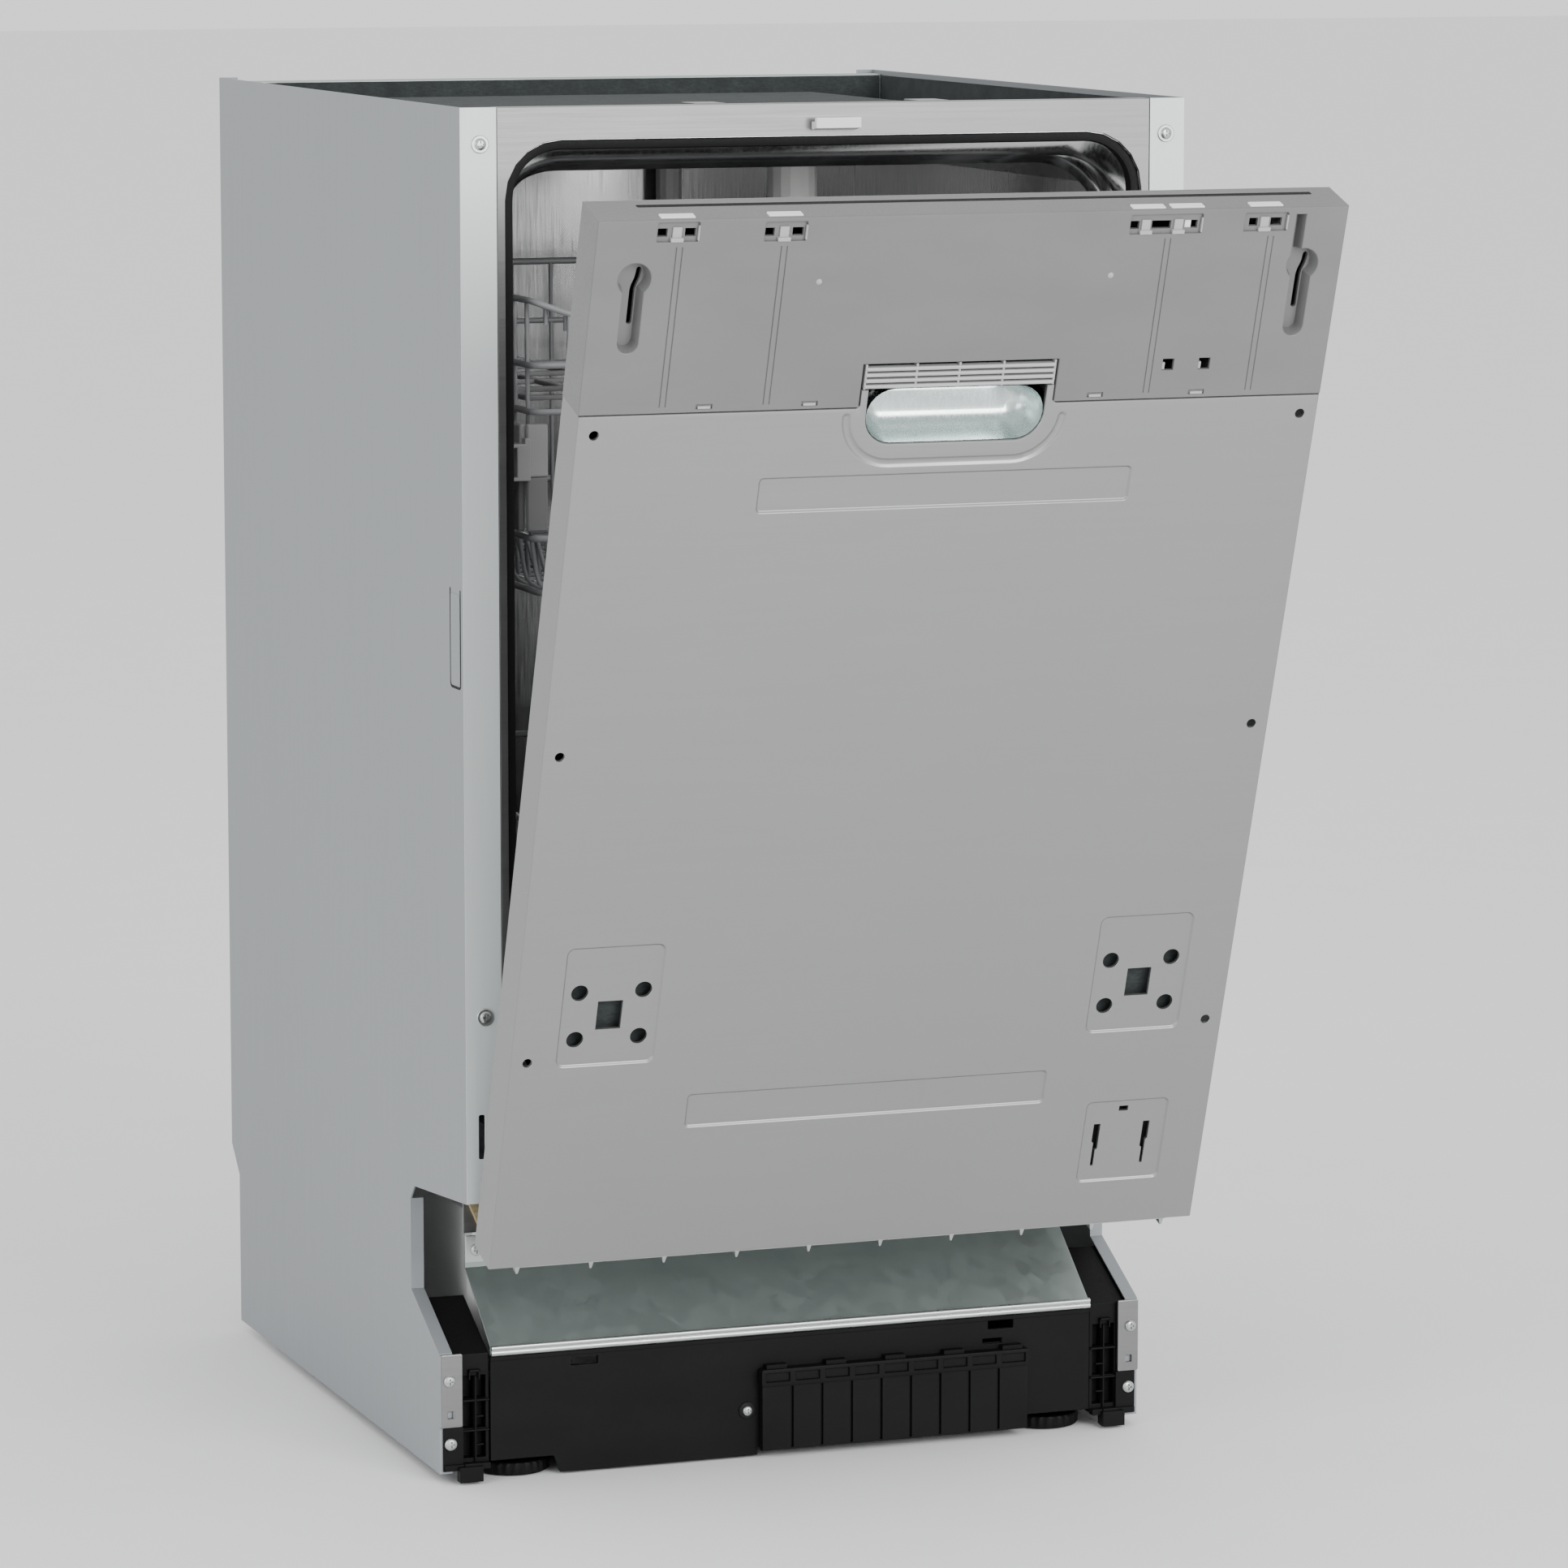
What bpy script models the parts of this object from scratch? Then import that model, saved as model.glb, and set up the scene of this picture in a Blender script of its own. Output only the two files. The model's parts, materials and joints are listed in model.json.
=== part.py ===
"""Slim fully integrated dishwasher, 448 mm wide, with its door ajar.

Everything is drawn in millimetres with the door closed. X runs to the right, Y to the rear and Z up;
y = 0 is the front flange plane of the cabinet, x = 0 its middle plane and z = 0 the floor.
The empties turn and move these drawings into place: the cabinet empty centres the footprint on the
origin, and the door empty tips the door about its hinge.
"""
import math

import bmesh
import bpy
from mathutils import Vector

MM = 0.001
GAP = 0.3                      # clearance between neighbouring pieces

# Cabinet
WIDTH = 448.0
HEIGHT = 815.0
DEPTH = 517.0                  # from the flange plane to the rear edges of the side panels
SHEET = 1.0
FLANGE_WIDTH = 22.0
FLANGE_BOTTOM = 180.0
BASE_FRONT = 57.0              # how far the base stands back from the flange plane
BASE_REAR = 499.0
PANEL_BOTTOM = 6.0
TOE_TOP = 79.0                 # top of the base front, where the toe space begins
TOE_BEND = (107.5, 118.5)      # where the sloping toe plate turns upright
BRACKET_BOTTOM = 144.5         # lower edge of the hinge brackets, clear of the swinging door
NOTCH_REAR = 113.0
NOTCH_TOP = 171.0
NOTCH_LOW = 107.0
REAR_CUT_LOW = 103.0
REAR_CUT_TOP = 121.0
HALF = WIDTH / 2.0
INSIDE = HALF - SHEET - GAP    # half of the free width between the side panels

# Tub and its front frame
TUB_HALF = 196.5
TUB_FLOOR = 183.5
TUB_CEILING = 795.5
TUB_CORNER = 34.0              # radius of the two upper corners
TUB_LOW_CORNER = 9.0           # radius of the two lower corners, clear of the rack wheels
TUB_FRONT = 1.7
TUB_BACK = 478.5
TUB_WALL = 1.2
FRAME_BOTTOM = 152.0
SALT_PORT = (-112.0, 132.0)
FILTER_PORT = (55.0, 335.0)
ARM_HUB = (0.0, 240.0)
FEED_RISER = (62.0, 464.0)
CEILING_SPRAY_Y = 232.0

# Door, drawn closed; the hinge axis runs along X through (HINGE_Y, HINGE_Z)
HINGE_Y = 15.0
HINGE_Z = 160.6
AJAR = math.radians(18.7)
DOOR_HALF = 220.5
DOOR_FRONT = -33.0
DOOR_BACK = -2.5
DOOR_BOTTOM = 163.0
DOOR_HEIGHT = 650.0
SEAM = DOOR_BOTTOM + 536.0     # joint between the steel panel and the plastic console
DOOR_TOP = DOOR_BOTTOM + DOOR_HEIGHT
CONSOLE_WALL = 2.5
POCKET_HALF = 53.0
POCKET_RADIUS = 16.5
POCKET_LOW = DOOR_BOTTOM + 514.0
POCKET_TOP = DOOR_BOTTOM + 546.8
POCKET_DEPTH = 24.0
BULGE_BACK = 9.0               # the inner panel bulges into the tub as far as this
DISPENSER = (-95.0, 75.0, 463.0, 573.0)

# Racks, drawn where they stand while the door is ajar
UPPER_HALF = 168.0
UPPER_FRONT = 44.0
UPPER_REAR = 404.0
UPPER_FLOOR = 527.0
UPPER_TOP = 703.0
RAIL_Z = 607.0
LOWER_HALF = 171.0
LOWER_FRONT = 33.0
LOWER_REAR = 420.0
LOWER_FLOOR = 228.0
LOWER_TOP = 398.0
WHEEL_RADIUS = 15.0
WHEEL_Z = TUB_FLOOR + WHEEL_RADIUS + GAP
FRONT_WHEEL_Y = 136.0
REAR_WHEEL_Y = 395.0
UPPER_HUB_Y = 224.0
SHELF_HINGE = (-161.0, 641.5)

# Feet
FOOT_X = 171.5
FOOT_Y = 83.0
REAR_FOOT_Y = 462.0
FOOT_RADIUS = 23.0
STEM_RADIUS = 5.0

BUTTONS = {
    "button_power": -174.7,
    "button_program": -112.8,
    "button_delay": 100.6,
    "button_half_load": 124.0,
    "button_start": 171.5,
}

# Finishes: colour, roughness, metallic
FINISHES = {
    "coated_steel": ((0.38, 0.40, 0.42), 0.45, 0.6),
    "brushed_steel": ((0.46, 0.46, 0.46), 0.35, 1.0),
    "tub_steel": ((0.55, 0.55, 0.55), 0.2, 1.0),
    "zinc_steel": ((0.35, 0.38, 0.37), 0.4, 0.9),
    "console_plastic": ((0.33, 0.33, 0.33), 0.5, 0.0),
    "white_plastic": ((0.8, 0.8, 0.78), 0.4, 0.0),
    "black_plastic": ((0.03, 0.03, 0.03), 0.55, 0.0),
    "grey_plastic": ((0.3, 0.3, 0.31), 0.5, 0.0),
    "rubber": ((0.02, 0.02, 0.02), 0.8, 0.0),
    "felt": ((0.4, 0.33, 0.18), 0.95, 0.0),
    "rack_wire": ((0.5, 0.51, 0.52), 0.4, 0.1),
    "board": ((0.05, 0.2, 0.08), 0.5, 0.0),
}

# Each drawing plane: a point (u, v) of an outline and its depth w become (x, y, z)
PLANES = {
    "X": lambda u, v, w: Vector((w, u, v)),
    "Y": lambda u, v, w: Vector((u, w, v)),
    "Z": lambda u, v, w: Vector((u, v, w)),
}


# ---------------------------------------------------------------- outlines

def rectangle(u0, u1, v0, v1):
    return [(u0, v0), (u1, v0), (u1, v1), (u0, v1)]


def arc(centre, radius, start, end, steps):
    points = []
    for i in range(steps + 1):
        angle = math.radians(start + (end - start) * i / steps)
        points.append((centre[0] + radius * math.cos(angle), centre[1] + radius * math.sin(angle)))
    return points


def circle(centre, radius, steps=12):
    return arc(centre, radius, 0.0, 360.0, steps)[:-1]


def rounded(u0, u1, v0, v1, radius, steps=4, low_radius=None):
    """A rectangle with round corners; the two lower ones may have a radius of their own."""
    low = low_radius or radius
    points = arc((u1 - low, v0 + low), low, -90, 0, steps)
    points += arc((u1 - radius, v1 - radius), radius, 0, 90, steps)
    points += arc((u0 + radius, v1 - radius), radius, 90, 180, steps)
    points += arc((u0 + low, v0 + low), low, 180, 270, steps)
    return points


def capsule(u0, u1, v0, v1, steps=6):
    """A slot with two round ends, upright or lying as its longer side runs."""
    if u1 - u0 > v1 - v0:
        radius = (v1 - v0) / 2.0
        points = arc((u1 - radius, v0 + radius), radius, -90, 90, steps)
        return points + arc((u0 + radius, v0 + radius), radius, 90, 270, steps)
    radius = (u1 - u0) / 2.0
    points = arc((u0 + radius, v1 - radius), radius, 0, 180, steps)
    return points + arc((u0 + radius, v0 + radius), radius, 180, 360, steps)


def folded(path, thickness):
    """The outline of a sheet that follows a path, with its thickness to the path's left."""
    points = [Vector(point) for point in path]
    inner = []
    for i, point in enumerate(points):
        before = (point - points[i - 1]).normalized() if i else None
        after = (points[i + 1] - point).normalized() if i + 1 < len(points) else None
        first = before or after
        second = after or before
        normal = Vector((-first.y, first.x)) + Vector((-second.y, second.x))
        normal.normalize()
        lean = normal.dot(Vector((-first.y, first.x)))
        inner.append(point + normal * thickness / lean)
    return [tuple(point) for point in points] + [tuple(point) for point in reversed(inner)]


# ---------------------------------------------------------------- solids

def prism(outline, axis, low, high, holes=()):
    """A closed solid: an outline, with any holes, drawn across one axis and extruded along it."""
    shape = bmesh.new()
    place = PLANES[axis]
    for loop in (outline, *holes):
        corners = [shape.verts.new(place(u, v, low) * MM) for u, v in loop]
        if holes:
            for i, corner in enumerate(corners):
                shape.edges.new((corners[i - 1], corner))
        else:
            shape.faces.new(corners)
    if holes:
        bmesh.ops.triangle_fill(shape, use_beauty=True, use_dissolve=False, edges=shape.edges[:])
    side = bmesh.ops.extrude_face_region(shape, geom=shape.faces[:])
    moved = [item for item in side["geom"] if isinstance(item, bmesh.types.BMVert)]
    bmesh.ops.translate(shape, verts=moved, vec=place(0.0, 0.0, high - low) * MM)
    bmesh.ops.recalc_face_normals(shape, faces=shape.faces[:])
    return shape


def block(x0, x1, y0, y1, z0, z1):
    return prism(rectangle(x0, x1, y0, y1), "Z", z0, z1)


def turned(profile, axis, centre, steps=20):
    """A turned solid: profile points (radius, distance along the axis) about an axis through centre.

    A profile that starts and ends on the axis is a plain body; any other profile is a closed ring.
    """
    shape = bmesh.new()
    place = PLANES[axis]
    rings = []
    for radius, along in profile:
        if radius < 1e-6:
            rings.append([shape.verts.new(place(centre[0], centre[1], along) * MM)])
            continue
        points = circle(centre, radius, steps)
        rings.append([shape.verts.new(place(u, v, along) * MM) for u, v in points])
    pairs = list(zip(rings, rings[1:]))
    if len(rings[0]) > 1:
        pairs.append((rings[-1], rings[0]))
    for near, far in pairs:
        for i in range(steps):
            a = [near[i - 1], near[i]] if len(near) > 1 else [near[0]]
            b = [far[i], far[i - 1]] if len(far) > 1 else [far[0]]
            shape.faces.new(a + b)
    bmesh.ops.recalc_face_normals(shape, faces=shape.faces[:])
    return shape


def rod(axis, centre, radius, low, high, steps=12):
    return prism(circle(centre, radius, steps), axis, low, high)


def mirrored(shape):
    """The same solid on the other side of the middle plane."""
    copy = shape.copy()
    bmesh.ops.scale(copy, vec=(-1.0, 1.0, 1.0), verts=copy.verts[:])
    bmesh.ops.reverse_faces(copy, faces=copy.faces[:])
    return copy


def to_mesh(shape):
    mesh = bpy.data.meshes.new("solid")
    shape.to_mesh(mesh)
    shape.free()
    return mesh


def boolean(shape, tools, operation):
    """Unites the shape with the tools, or cuts them from it, and returns the result."""
    scene = bpy.context.scene.collection
    target = bpy.data.objects.new("target", to_mesh(shape))
    scene.objects.link(target)
    operands = bpy.data.collections.new("operands")
    scene.children.link(operands)
    for tool in tools:
        operands.objects.link(bpy.data.objects.new("tool", to_mesh(tool)))
    modifier = target.modifiers.new("boolean", "BOOLEAN")
    modifier.operation = operation
    modifier.operand_type = "COLLECTION"
    modifier.collection = operands
    evaluated = target.evaluated_get(bpy.context.evaluated_depsgraph_get())
    result = bmesh.new()
    result.from_mesh(evaluated.to_mesh())
    evaluated.to_mesh_clear()
    for item in [target, *operands.objects]:
        bpy.data.objects.remove(item)
    bpy.data.collections.remove(operands)
    bmesh.ops.remove_doubles(result, verts=result.verts[:], dist=1e-6)
    bmesh.ops.dissolve_degenerate(result, dist=1e-6, edges=result.edges[:])
    return result


def united(first, *others):
    return boolean(first, others, "UNION")


def cut(shape, *tools):
    return boolean(shape, tools, "DIFFERENCE")


# ---------------------------------------------------------------- placing

def frame_empty(name, pivot, parent=None, tilt=0.0):
    """An empty on a joint's axis. Pivots are given in the drawing, as the solids are."""
    empty = bpy.data.objects.new(name, None)
    bpy.context.scene.collection.objects.link(empty)
    empty["pivot"] = pivot
    empty.location = Vector(pivot) * MM
    if parent:
        empty.parent = parent
        empty.location -= Vector(parent["pivot"]) * MM
    empty.rotation_euler.x = tilt
    return empty


def part(name, shape, finish, parent):
    """Turns a solid into the named sub-part, with its own material, under its body's empty."""
    bmesh.ops.translate(shape, verts=shape.verts[:], vec=-Vector(parent["pivot"]) * MM)
    mesh = to_mesh(shape)
    mesh.name = name
    mesh.shade_smooth()
    mesh.set_sharp_from_angle(angle=math.radians(30.0))
    colour, roughness, metallic = FINISHES[finish]
    material = bpy.data.materials.new(name)
    material.use_nodes = True
    shader = material.node_tree.nodes["Principled BSDF"]
    shader.inputs["Base Color"].default_value = (*colour, 1.0)
    shader.inputs["Roughness"].default_value = roughness
    shader.inputs["Metallic"].default_value = metallic
    mesh.materials.append(material)
    item = bpy.data.objects.new(name, mesh)
    bpy.context.scene.collection.objects.link(item)
    item.parent = parent
    return item


def moving(name, pivot, parent):
    """The empty of a piece that moves by itself."""
    return frame_empty(name + "_axis", pivot, parent)


# ---------------------------------------------------------------- cabinet

def side_panel():
    """The left side panel, with its folded front flange, notch flange, plinth lug and rear flange."""
    outline = [(0.0, HEIGHT), (0.0, FLANGE_BOTTOM), (NOTCH_REAR - 8.0, NOTCH_TOP)]
    outline += [(NOTCH_REAR, NOTCH_TOP - 9.0), (NOTCH_REAR, NOTCH_LOW), (BASE_FRONT, TOE_TOP)]
    outline += [(BASE_FRONT, PANEL_BOTTOM), (BASE_REAR, PANEL_BOTTOM), (BASE_REAR, REAR_CUT_LOW)]
    outline += [(DEPTH, REAR_CUT_TOP), (DEPTH, HEIGHT)]
    skin = prism(outline, "X", -HALF, -HALF + SHEET)
    front = prism(
        rectangle(-HALF, -HALF + FLANGE_WIDTH, FLANGE_BOTTOM, HEIGHT), "Y", 0.0, SHEET,
        holes=[
            circle((-212.0, 794.0), 2.2, 8),
            circle((-212.0, 290.0), 2.2, 8),
            rectangle(-216.5, -212.5, 206.0, 233.0),
        ],
    )
    edge = [(NOTCH_REAR, NOTCH_TOP - 9.0), (NOTCH_REAR, NOTCH_LOW), (BASE_FRONT, TOE_TOP)]
    edge.append((BASE_FRONT, PANEL_BOTTOM))
    notch = prism(folded(edge, SHEET), "X", -HALF, -HALF + 8.0)
    lug = prism(
        rectangle(-HALF, -210.8, 34.7, TOE_TOP - 1.0), "Y", BASE_FRONT - 2.0, BASE_FRONT + 0.2,
        holes=[rectangle(-220.0, -216.0, 39.5, 44.0), circle((-218.5, 62.4), 2.2, 8)],
    )
    rear = block(-HALF, -HALF + 12.0, DEPTH - SHEET, DEPTH, REAR_CUT_TOP + 1.0, HEIGHT)
    return united(skin, front, notch, lug, rear)


def tub_section(offset):
    """The tub's cross-section, grown by an offset on every side."""
    return rounded(
        -TUB_HALF - offset, TUB_HALF + offset, TUB_FLOOR - offset, TUB_CEILING + offset,
        TUB_CORNER + offset, 5, TUB_LOW_CORNER + offset,
    )


def front_frame():
    """The steel frame round the tub's mouth, with its folded top edge and two worktop tabs."""
    opening = tub_section(0.5)
    half = HALF - FLANGE_WIDTH - GAP
    face = prism(rectangle(-half, half, FRAME_BOTTOM, HEIGHT - GAP), "Y", 0.2, 1.4, holes=[opening])
    lip = block(-half, half, 0.2, 12.0, HEIGHT - 1.5, HEIGHT - GAP)
    tabs = [block(x - 9.5, x + 9.5, 10.0, 34.0, HEIGHT - 1.0, HEIGHT) for x in (-69.0, 69.0)]
    return united(face, lip, *tabs)


def tub():
    """The wash chamber: a deep-drawn steel box, open at the front, with four ports in its floor."""
    shell = prism(tub_section(TUB_WALL), "Y", TUB_FRONT, TUB_BACK + TUB_WALL)
    room = prism(tub_section(0.0), "Y", TUB_FRONT - 5.0, TUB_BACK)
    ports = [
        rod("Z", SALT_PORT, 23.0, TUB_FLOOR - 5.0, TUB_FLOOR + 5.0, 16),
        rod("Z", FILTER_PORT, 46.0, TUB_FLOOR - 5.0, TUB_FLOOR + 5.0, 24),
        rod("Z", ARM_HUB, 13.0, TUB_FLOOR - 5.0, TUB_FLOOR + 5.0, 12),
        rod("Z", FEED_RISER, 10.0, TUB_FLOOR - 5.0, TUB_FLOOR + 5.0, 12),
    ]
    return cut(shell, room, *ports)


def arch(inner, thickness, foot):
    """The outline of a strip that runs up one side of the tub, across its top and down the other."""
    outer = arch_line(inner + thickness, foot)
    return outer + list(reversed(arch_line(inner, foot)))


def arch_line(offset, foot):
    half = TUB_HALF + offset
    top = TUB_CEILING + offset
    radius = TUB_CORNER + offset
    points = [(half, foot)]
    points += arc((half - radius, top - radius), radius, 0, 90, 5)
    points += arc((radius - half, top - radius), radius, 90, 180, 5)
    points.append((-half, foot))
    return points


def door_seal():
    return prism(arch(-5.3, 5.0, 220.0), "Y", 3.0, 12.0)


def insulation_blanket():
    return prism(arch(TUB_WALL + 0.5, 5.5, 220.0), "Y", 30.0, 470.0)


def rear_panel():
    """The rear sheet, vented low down, with a folded top rail."""
    vents = [rectangle(x - 22.0, x + 22.0, 150.0, 156.0) for x in (-120.0, -40.0, 40.0, 120.0)]
    half = INSIDE
    sheet = prism(rectangle(-half, half, 124.0, 812.0), "Y", DEPTH - 3.5, DEPTH - 2.3, holes=vents)
    rail = [(DEPTH - 2.3, 812.7), (DEPTH - 18.0, 812.7), (DEPTH - 18.0, 784.0)]
    return united(sheet, prism(folded(rail, 1.5), "X", -half, half))


def latch_strike():
    """The plastic hook plate that the door latch grips."""
    lip = [(-0.1, 799.0), (-9.0, 800.5), (-9.0, 806.5), (-6.0, 806.5), (-6.0, 804.0), (-0.1, 804.0)]
    return prism(lip, "X", -11.0, 17.0)


def toe_plate():
    """The bent galvanised sheet behind the toe space."""
    path = [(BASE_FRONT + 1.0, TOE_TOP - 3.5), (BASE_FRONT + 1.0, TOE_TOP + 1.5)]
    path += [TOE_BEND, (TOE_BEND[0], 150.0)]
    return prism(folded(list(reversed(path)), 1.0), "X", -192.0, 192.0)


def base_tray():
    """The moulded base: a shallow tray whose front wall shows under the toe plate."""
    front = [(-192.3, 11.5), (-153.0, 11.5), (-149.0, 1.0), (-24.0, 1.0), (-24.0, 6.0), (149.0, 6.0)]
    front += [(152.0, 11.5), (192.3, 11.5), (192.3, TOE_TOP - 4.2), (-192.3, TOE_TOP - 4.2)]
    face = prism(
        front, "Y", BASE_FRONT, BASE_FRONT + 3.0,
        holes=[
            rectangle(-142.0, -125.0, 65.5, 70.5),
            rectangle(125.5, 142.0, 66.5, 72.0),
            rectangle(122.0, 134.5, 57.5, 61.0),
        ],
    )
    bowl = cut(
        block(-192.3, 192.3, BASE_FRONT + 2.0, BASE_REAR - 1.0, 11.5, 58.0),
        block(-189.8, 189.8, BASE_FRONT + 5.0, BASE_REAR - 3.5, 14.0, 70.0),
        rod("Z", (-FOOT_X, FOOT_Y), STEM_RADIUS + 2.0, 5.0, 20.0, 10),
        rod("Z", (FOOT_X, FOOT_Y), STEM_RADIUS + 2.0, 5.0, 20.0, 10),
        rod("Z", (0.0, REAR_FOOT_Y), STEM_RADIUS + 2.0, 5.0, 20.0, 10),
    )
    return united(face, bowl)


def ribbed_cover():
    """The clipped-on cover of the base front, with eight vertical grooves and a thicker top rim."""
    left, right, panels = -23.0, 149.0, 9
    back, front, groove = BASE_FRONT - GAP, BASE_FRONT - 6.5, 1.6
    step = (right - left) / panels
    outline = [(right, back), (left, back), (left, front)]
    for i in range(1, panels):
        x = left + i * step
        outline += [(x - 0.9, front), (x - 0.9, front + groove), (x + 0.9, front + groove), (x + 0.9, front)]
    outline.append((right, front))
    body = prism(outline, "Z", 4.6, 45.0)
    rim = block(left - 0.8, right + 0.8, front - 1.4, back, 44.0, 54.5)
    return united(body, rim)


def front_post():
    """The moulded left corner post, with a sloping top, open ribbed cells and the foot's clip."""
    outline = [(BASE_FRONT + 1.5, 9.0), (BASE_FRONT + 1.5, TOE_TOP - 2.0), (108.0, 102.0), (108.0, 9.0)]
    post = prism(outline, "X", -INSIDE + 1.5, -193.0)
    cells = []
    for x0, x1 in ((-209.5, -202.5), (-201.0, -195.0)):
        for z0, z1 in ((14.0, 30.0), (32.0, 48.0), (50.0, 64.0)):
            cells.append(block(x0, x1, BASE_FRONT - 1.0, BASE_FRONT + 9.0, z0, z1))
    clip = block(-209.8, -200.0, BASE_FRONT - 5.0, BASE_FRONT + 4.0, 1.0, 12.0)
    return cut(united(post, clip), *cells)


def sump():
    outer, inner = 50.0, 47.2
    profile = [(0.0, 92.0), (outer, 92.0), (outer, TUB_FLOOR - 1.6), (inner, TUB_FLOOR - 1.6)]
    profile += [(inner, 95.0), (0.0, 95.0)]
    return turned(profile, "Z", FILTER_PORT, 20)


def circulation_pump():
    profile = [(0.0, -125.0), (34.0, -125.0), (42.0, -110.0), (42.0, -50.0), (30.0, -46.0)]
    profile += [(30.0, -8.0), (0.0, -8.0)]
    return turned(profile, "X", (405.0, 66.0), 20)


def drain_pump():
    profile = [(0.0, 290.0), (26.0, 290.0), (26.0, 325.0), (18.0, 327.0), (18.0, 372.0), (0.0, 372.0)]
    return turned(profile, "Y", (150.0, 50.0), 16)


def softener():
    """The salt tank, with the neck that carries the salt cap in the tub floor."""
    tank = prism(rounded(-186.0, -84.0, 111.0, 290.0, 12.0, 3), "Z", 16.0, 150.0)
    neck = rod("Z", SALT_PORT, 22.0, 149.0, TUB_FLOOR + 0.2, 16)
    return united(tank, neck)


def inlet_valve():
    body = block(-182.0, -130.0, 440.0, 490.0, 62.0, 104.0)
    return united(body, rod("Y", (-156.0, 84.0), 13.0, 485.0, 512.0, 12))


def drain_outlet():
    body = block(132.0, 166.0, 455.0, 490.0, 64.0, 104.0)
    return united(body, rod("Y", (149.0, 84.0), 10.5, 485.0, 512.0, 12))


def cord_inlet():
    """The terminal box and the gland of the mains lead; the lead itself isn't part of the model."""
    body = block(40.0, 104.0, 440.0, 492.0, 62.0, 100.0)
    return united(body, rod("Y", (72.0, 81.0), 8.0, 488.0, 508.0, 12))


def air_break():
    return prism(rounded(150.0, 400.0, 230.0, 560.0, 20.0, 3), "X", -INSIDE, -206.0)


def spray_feed_pipe():
    """The under-floor duct, lower hub, rear riser, ceiling run and ceiling spray head."""
    x, y = FEED_RISER
    duct = block(-12.0, x + 9.0, ARM_HUB[1] - 14.0, y + 9.0, 160.0, 172.0)
    clear = block(x - 60.0, x + 60.0, 240.0, y - 60.0, 150.0, 180.0)
    channel = cut(duct, clear)
    hub = rod("Z", ARM_HUB, 11.0, 165.0, 205.0, 12)
    riser = rod("Z", FEED_RISER, 8.5, 165.0, 783.0, 12)
    run = rod("Y", (x, 783.0), 8.5, CEILING_SPRAY_Y - 10.0, y + 5.0, 12)
    head = rod("Z", (x, CEILING_SPRAY_Y), 15.5, 745.0, 784.0, 16)
    return united(channel, hub, riser, run, head)


def hinge_bracket():
    """The left hinge bracket: a front lug, a side plate and the hinge pin."""
    lug = block(-INSIDE, -210.0, 6.0, 8.0, BRACKET_BOTTOM, 160.0)
    plate = prism(rectangle(6.0, 30.0, BRACKET_BOTTOM, 170.0), "X", -211.5, -210.0)
    pin = rod("X", (HINGE_Y, HINGE_Z), 4.0, -211.0, -203.0, 12)
    return united(lug, plate, pin)


def counterbalance():
    """The spring cartridge that balances the left side of the door through a strap."""
    profile = [(0.0, 62.0), (3.0, 62.0), (3.0, 110.0), (7.0, 110.0), (7.0, 320.0), (0.0, 320.0)]
    return turned(profile, "Y", (-207.0, 176.0), 12)


def make_cabinet(cabinet):
    left_panel = side_panel()
    left_post = front_post()
    left_bracket = hinge_bracket()
    left_spring = counterbalance()
    part("right_side_panel", mirrored(left_panel), "coated_steel", cabinet)
    part("left_side_panel", left_panel, "coated_steel", cabinet)
    part("front_frame", front_frame(), "brushed_steel", cabinet)
    part("tub", tub(), "tub_steel", cabinet)
    part("door_seal", door_seal(), "rubber", cabinet)
    part("insulation_blanket", insulation_blanket(), "felt", cabinet)
    part("rear_panel", rear_panel(), "zinc_steel", cabinet)
    part("latch_strike", latch_strike(), "white_plastic", cabinet)
    part("toe_plate", toe_plate(), "zinc_steel", cabinet)
    part("base_tray", base_tray(), "black_plastic", cabinet)
    part("ribbed_cover", ribbed_cover(), "black_plastic", cabinet)
    part("front_post_right", mirrored(left_post), "black_plastic", cabinet)
    part("front_post_left", left_post, "black_plastic", cabinet)
    part("sump", sump(), "black_plastic", cabinet)
    part("circulation_pump", circulation_pump(), "grey_plastic", cabinet)
    part("drain_pump", drain_pump(), "grey_plastic", cabinet)
    part("softener", softener(), "white_plastic", cabinet)
    part("inlet_valve", inlet_valve(), "white_plastic", cabinet)
    part("drain_outlet", drain_outlet(), "black_plastic", cabinet)
    part("cord_inlet", cord_inlet(), "black_plastic", cabinet)
    part("air_break", air_break(), "white_plastic", cabinet)
    part("spray_feed_pipe", spray_feed_pipe(), "grey_plastic", cabinet)
    part("hinge_bracket_right", mirrored(left_bracket), "zinc_steel", cabinet)
    part("hinge_bracket_left", left_bracket, "zinc_steel", cabinet)
    part("counterbalance_right", mirrored(left_spring), "zinc_steel", cabinet)
    part("counterbalance_left", left_spring, "zinc_steel", cabinet)


# ---------------------------------------------------------------- door

def outer_panel_outline():
    """The front face of the steel panel, with the notched tab that frames the handle pocket."""
    left, right = -DOOR_HALF, DOOR_HALF
    tab = POCKET_HALF + 4.5
    round_z = POCKET_LOW + POCKET_RADIUS
    points = [(left, DOOR_BOTTOM), (right, DOOR_BOTTOM), (right, SEAM), (tab, SEAM), (tab, POCKET_TOP)]
    points.append((POCKET_HALF, POCKET_TOP))
    points += arc((POCKET_HALF - POCKET_RADIUS, round_z), POCKET_RADIUS, 0, -90, 5)
    points += arc((POCKET_RADIUS - POCKET_HALF, round_z), POCKET_RADIUS, -90, -180, 5)
    points += [(-POCKET_HALF, POCKET_TOP), (-tab, POCKET_TOP), (-tab, SEAM), (left, SEAM)]
    return points


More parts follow.
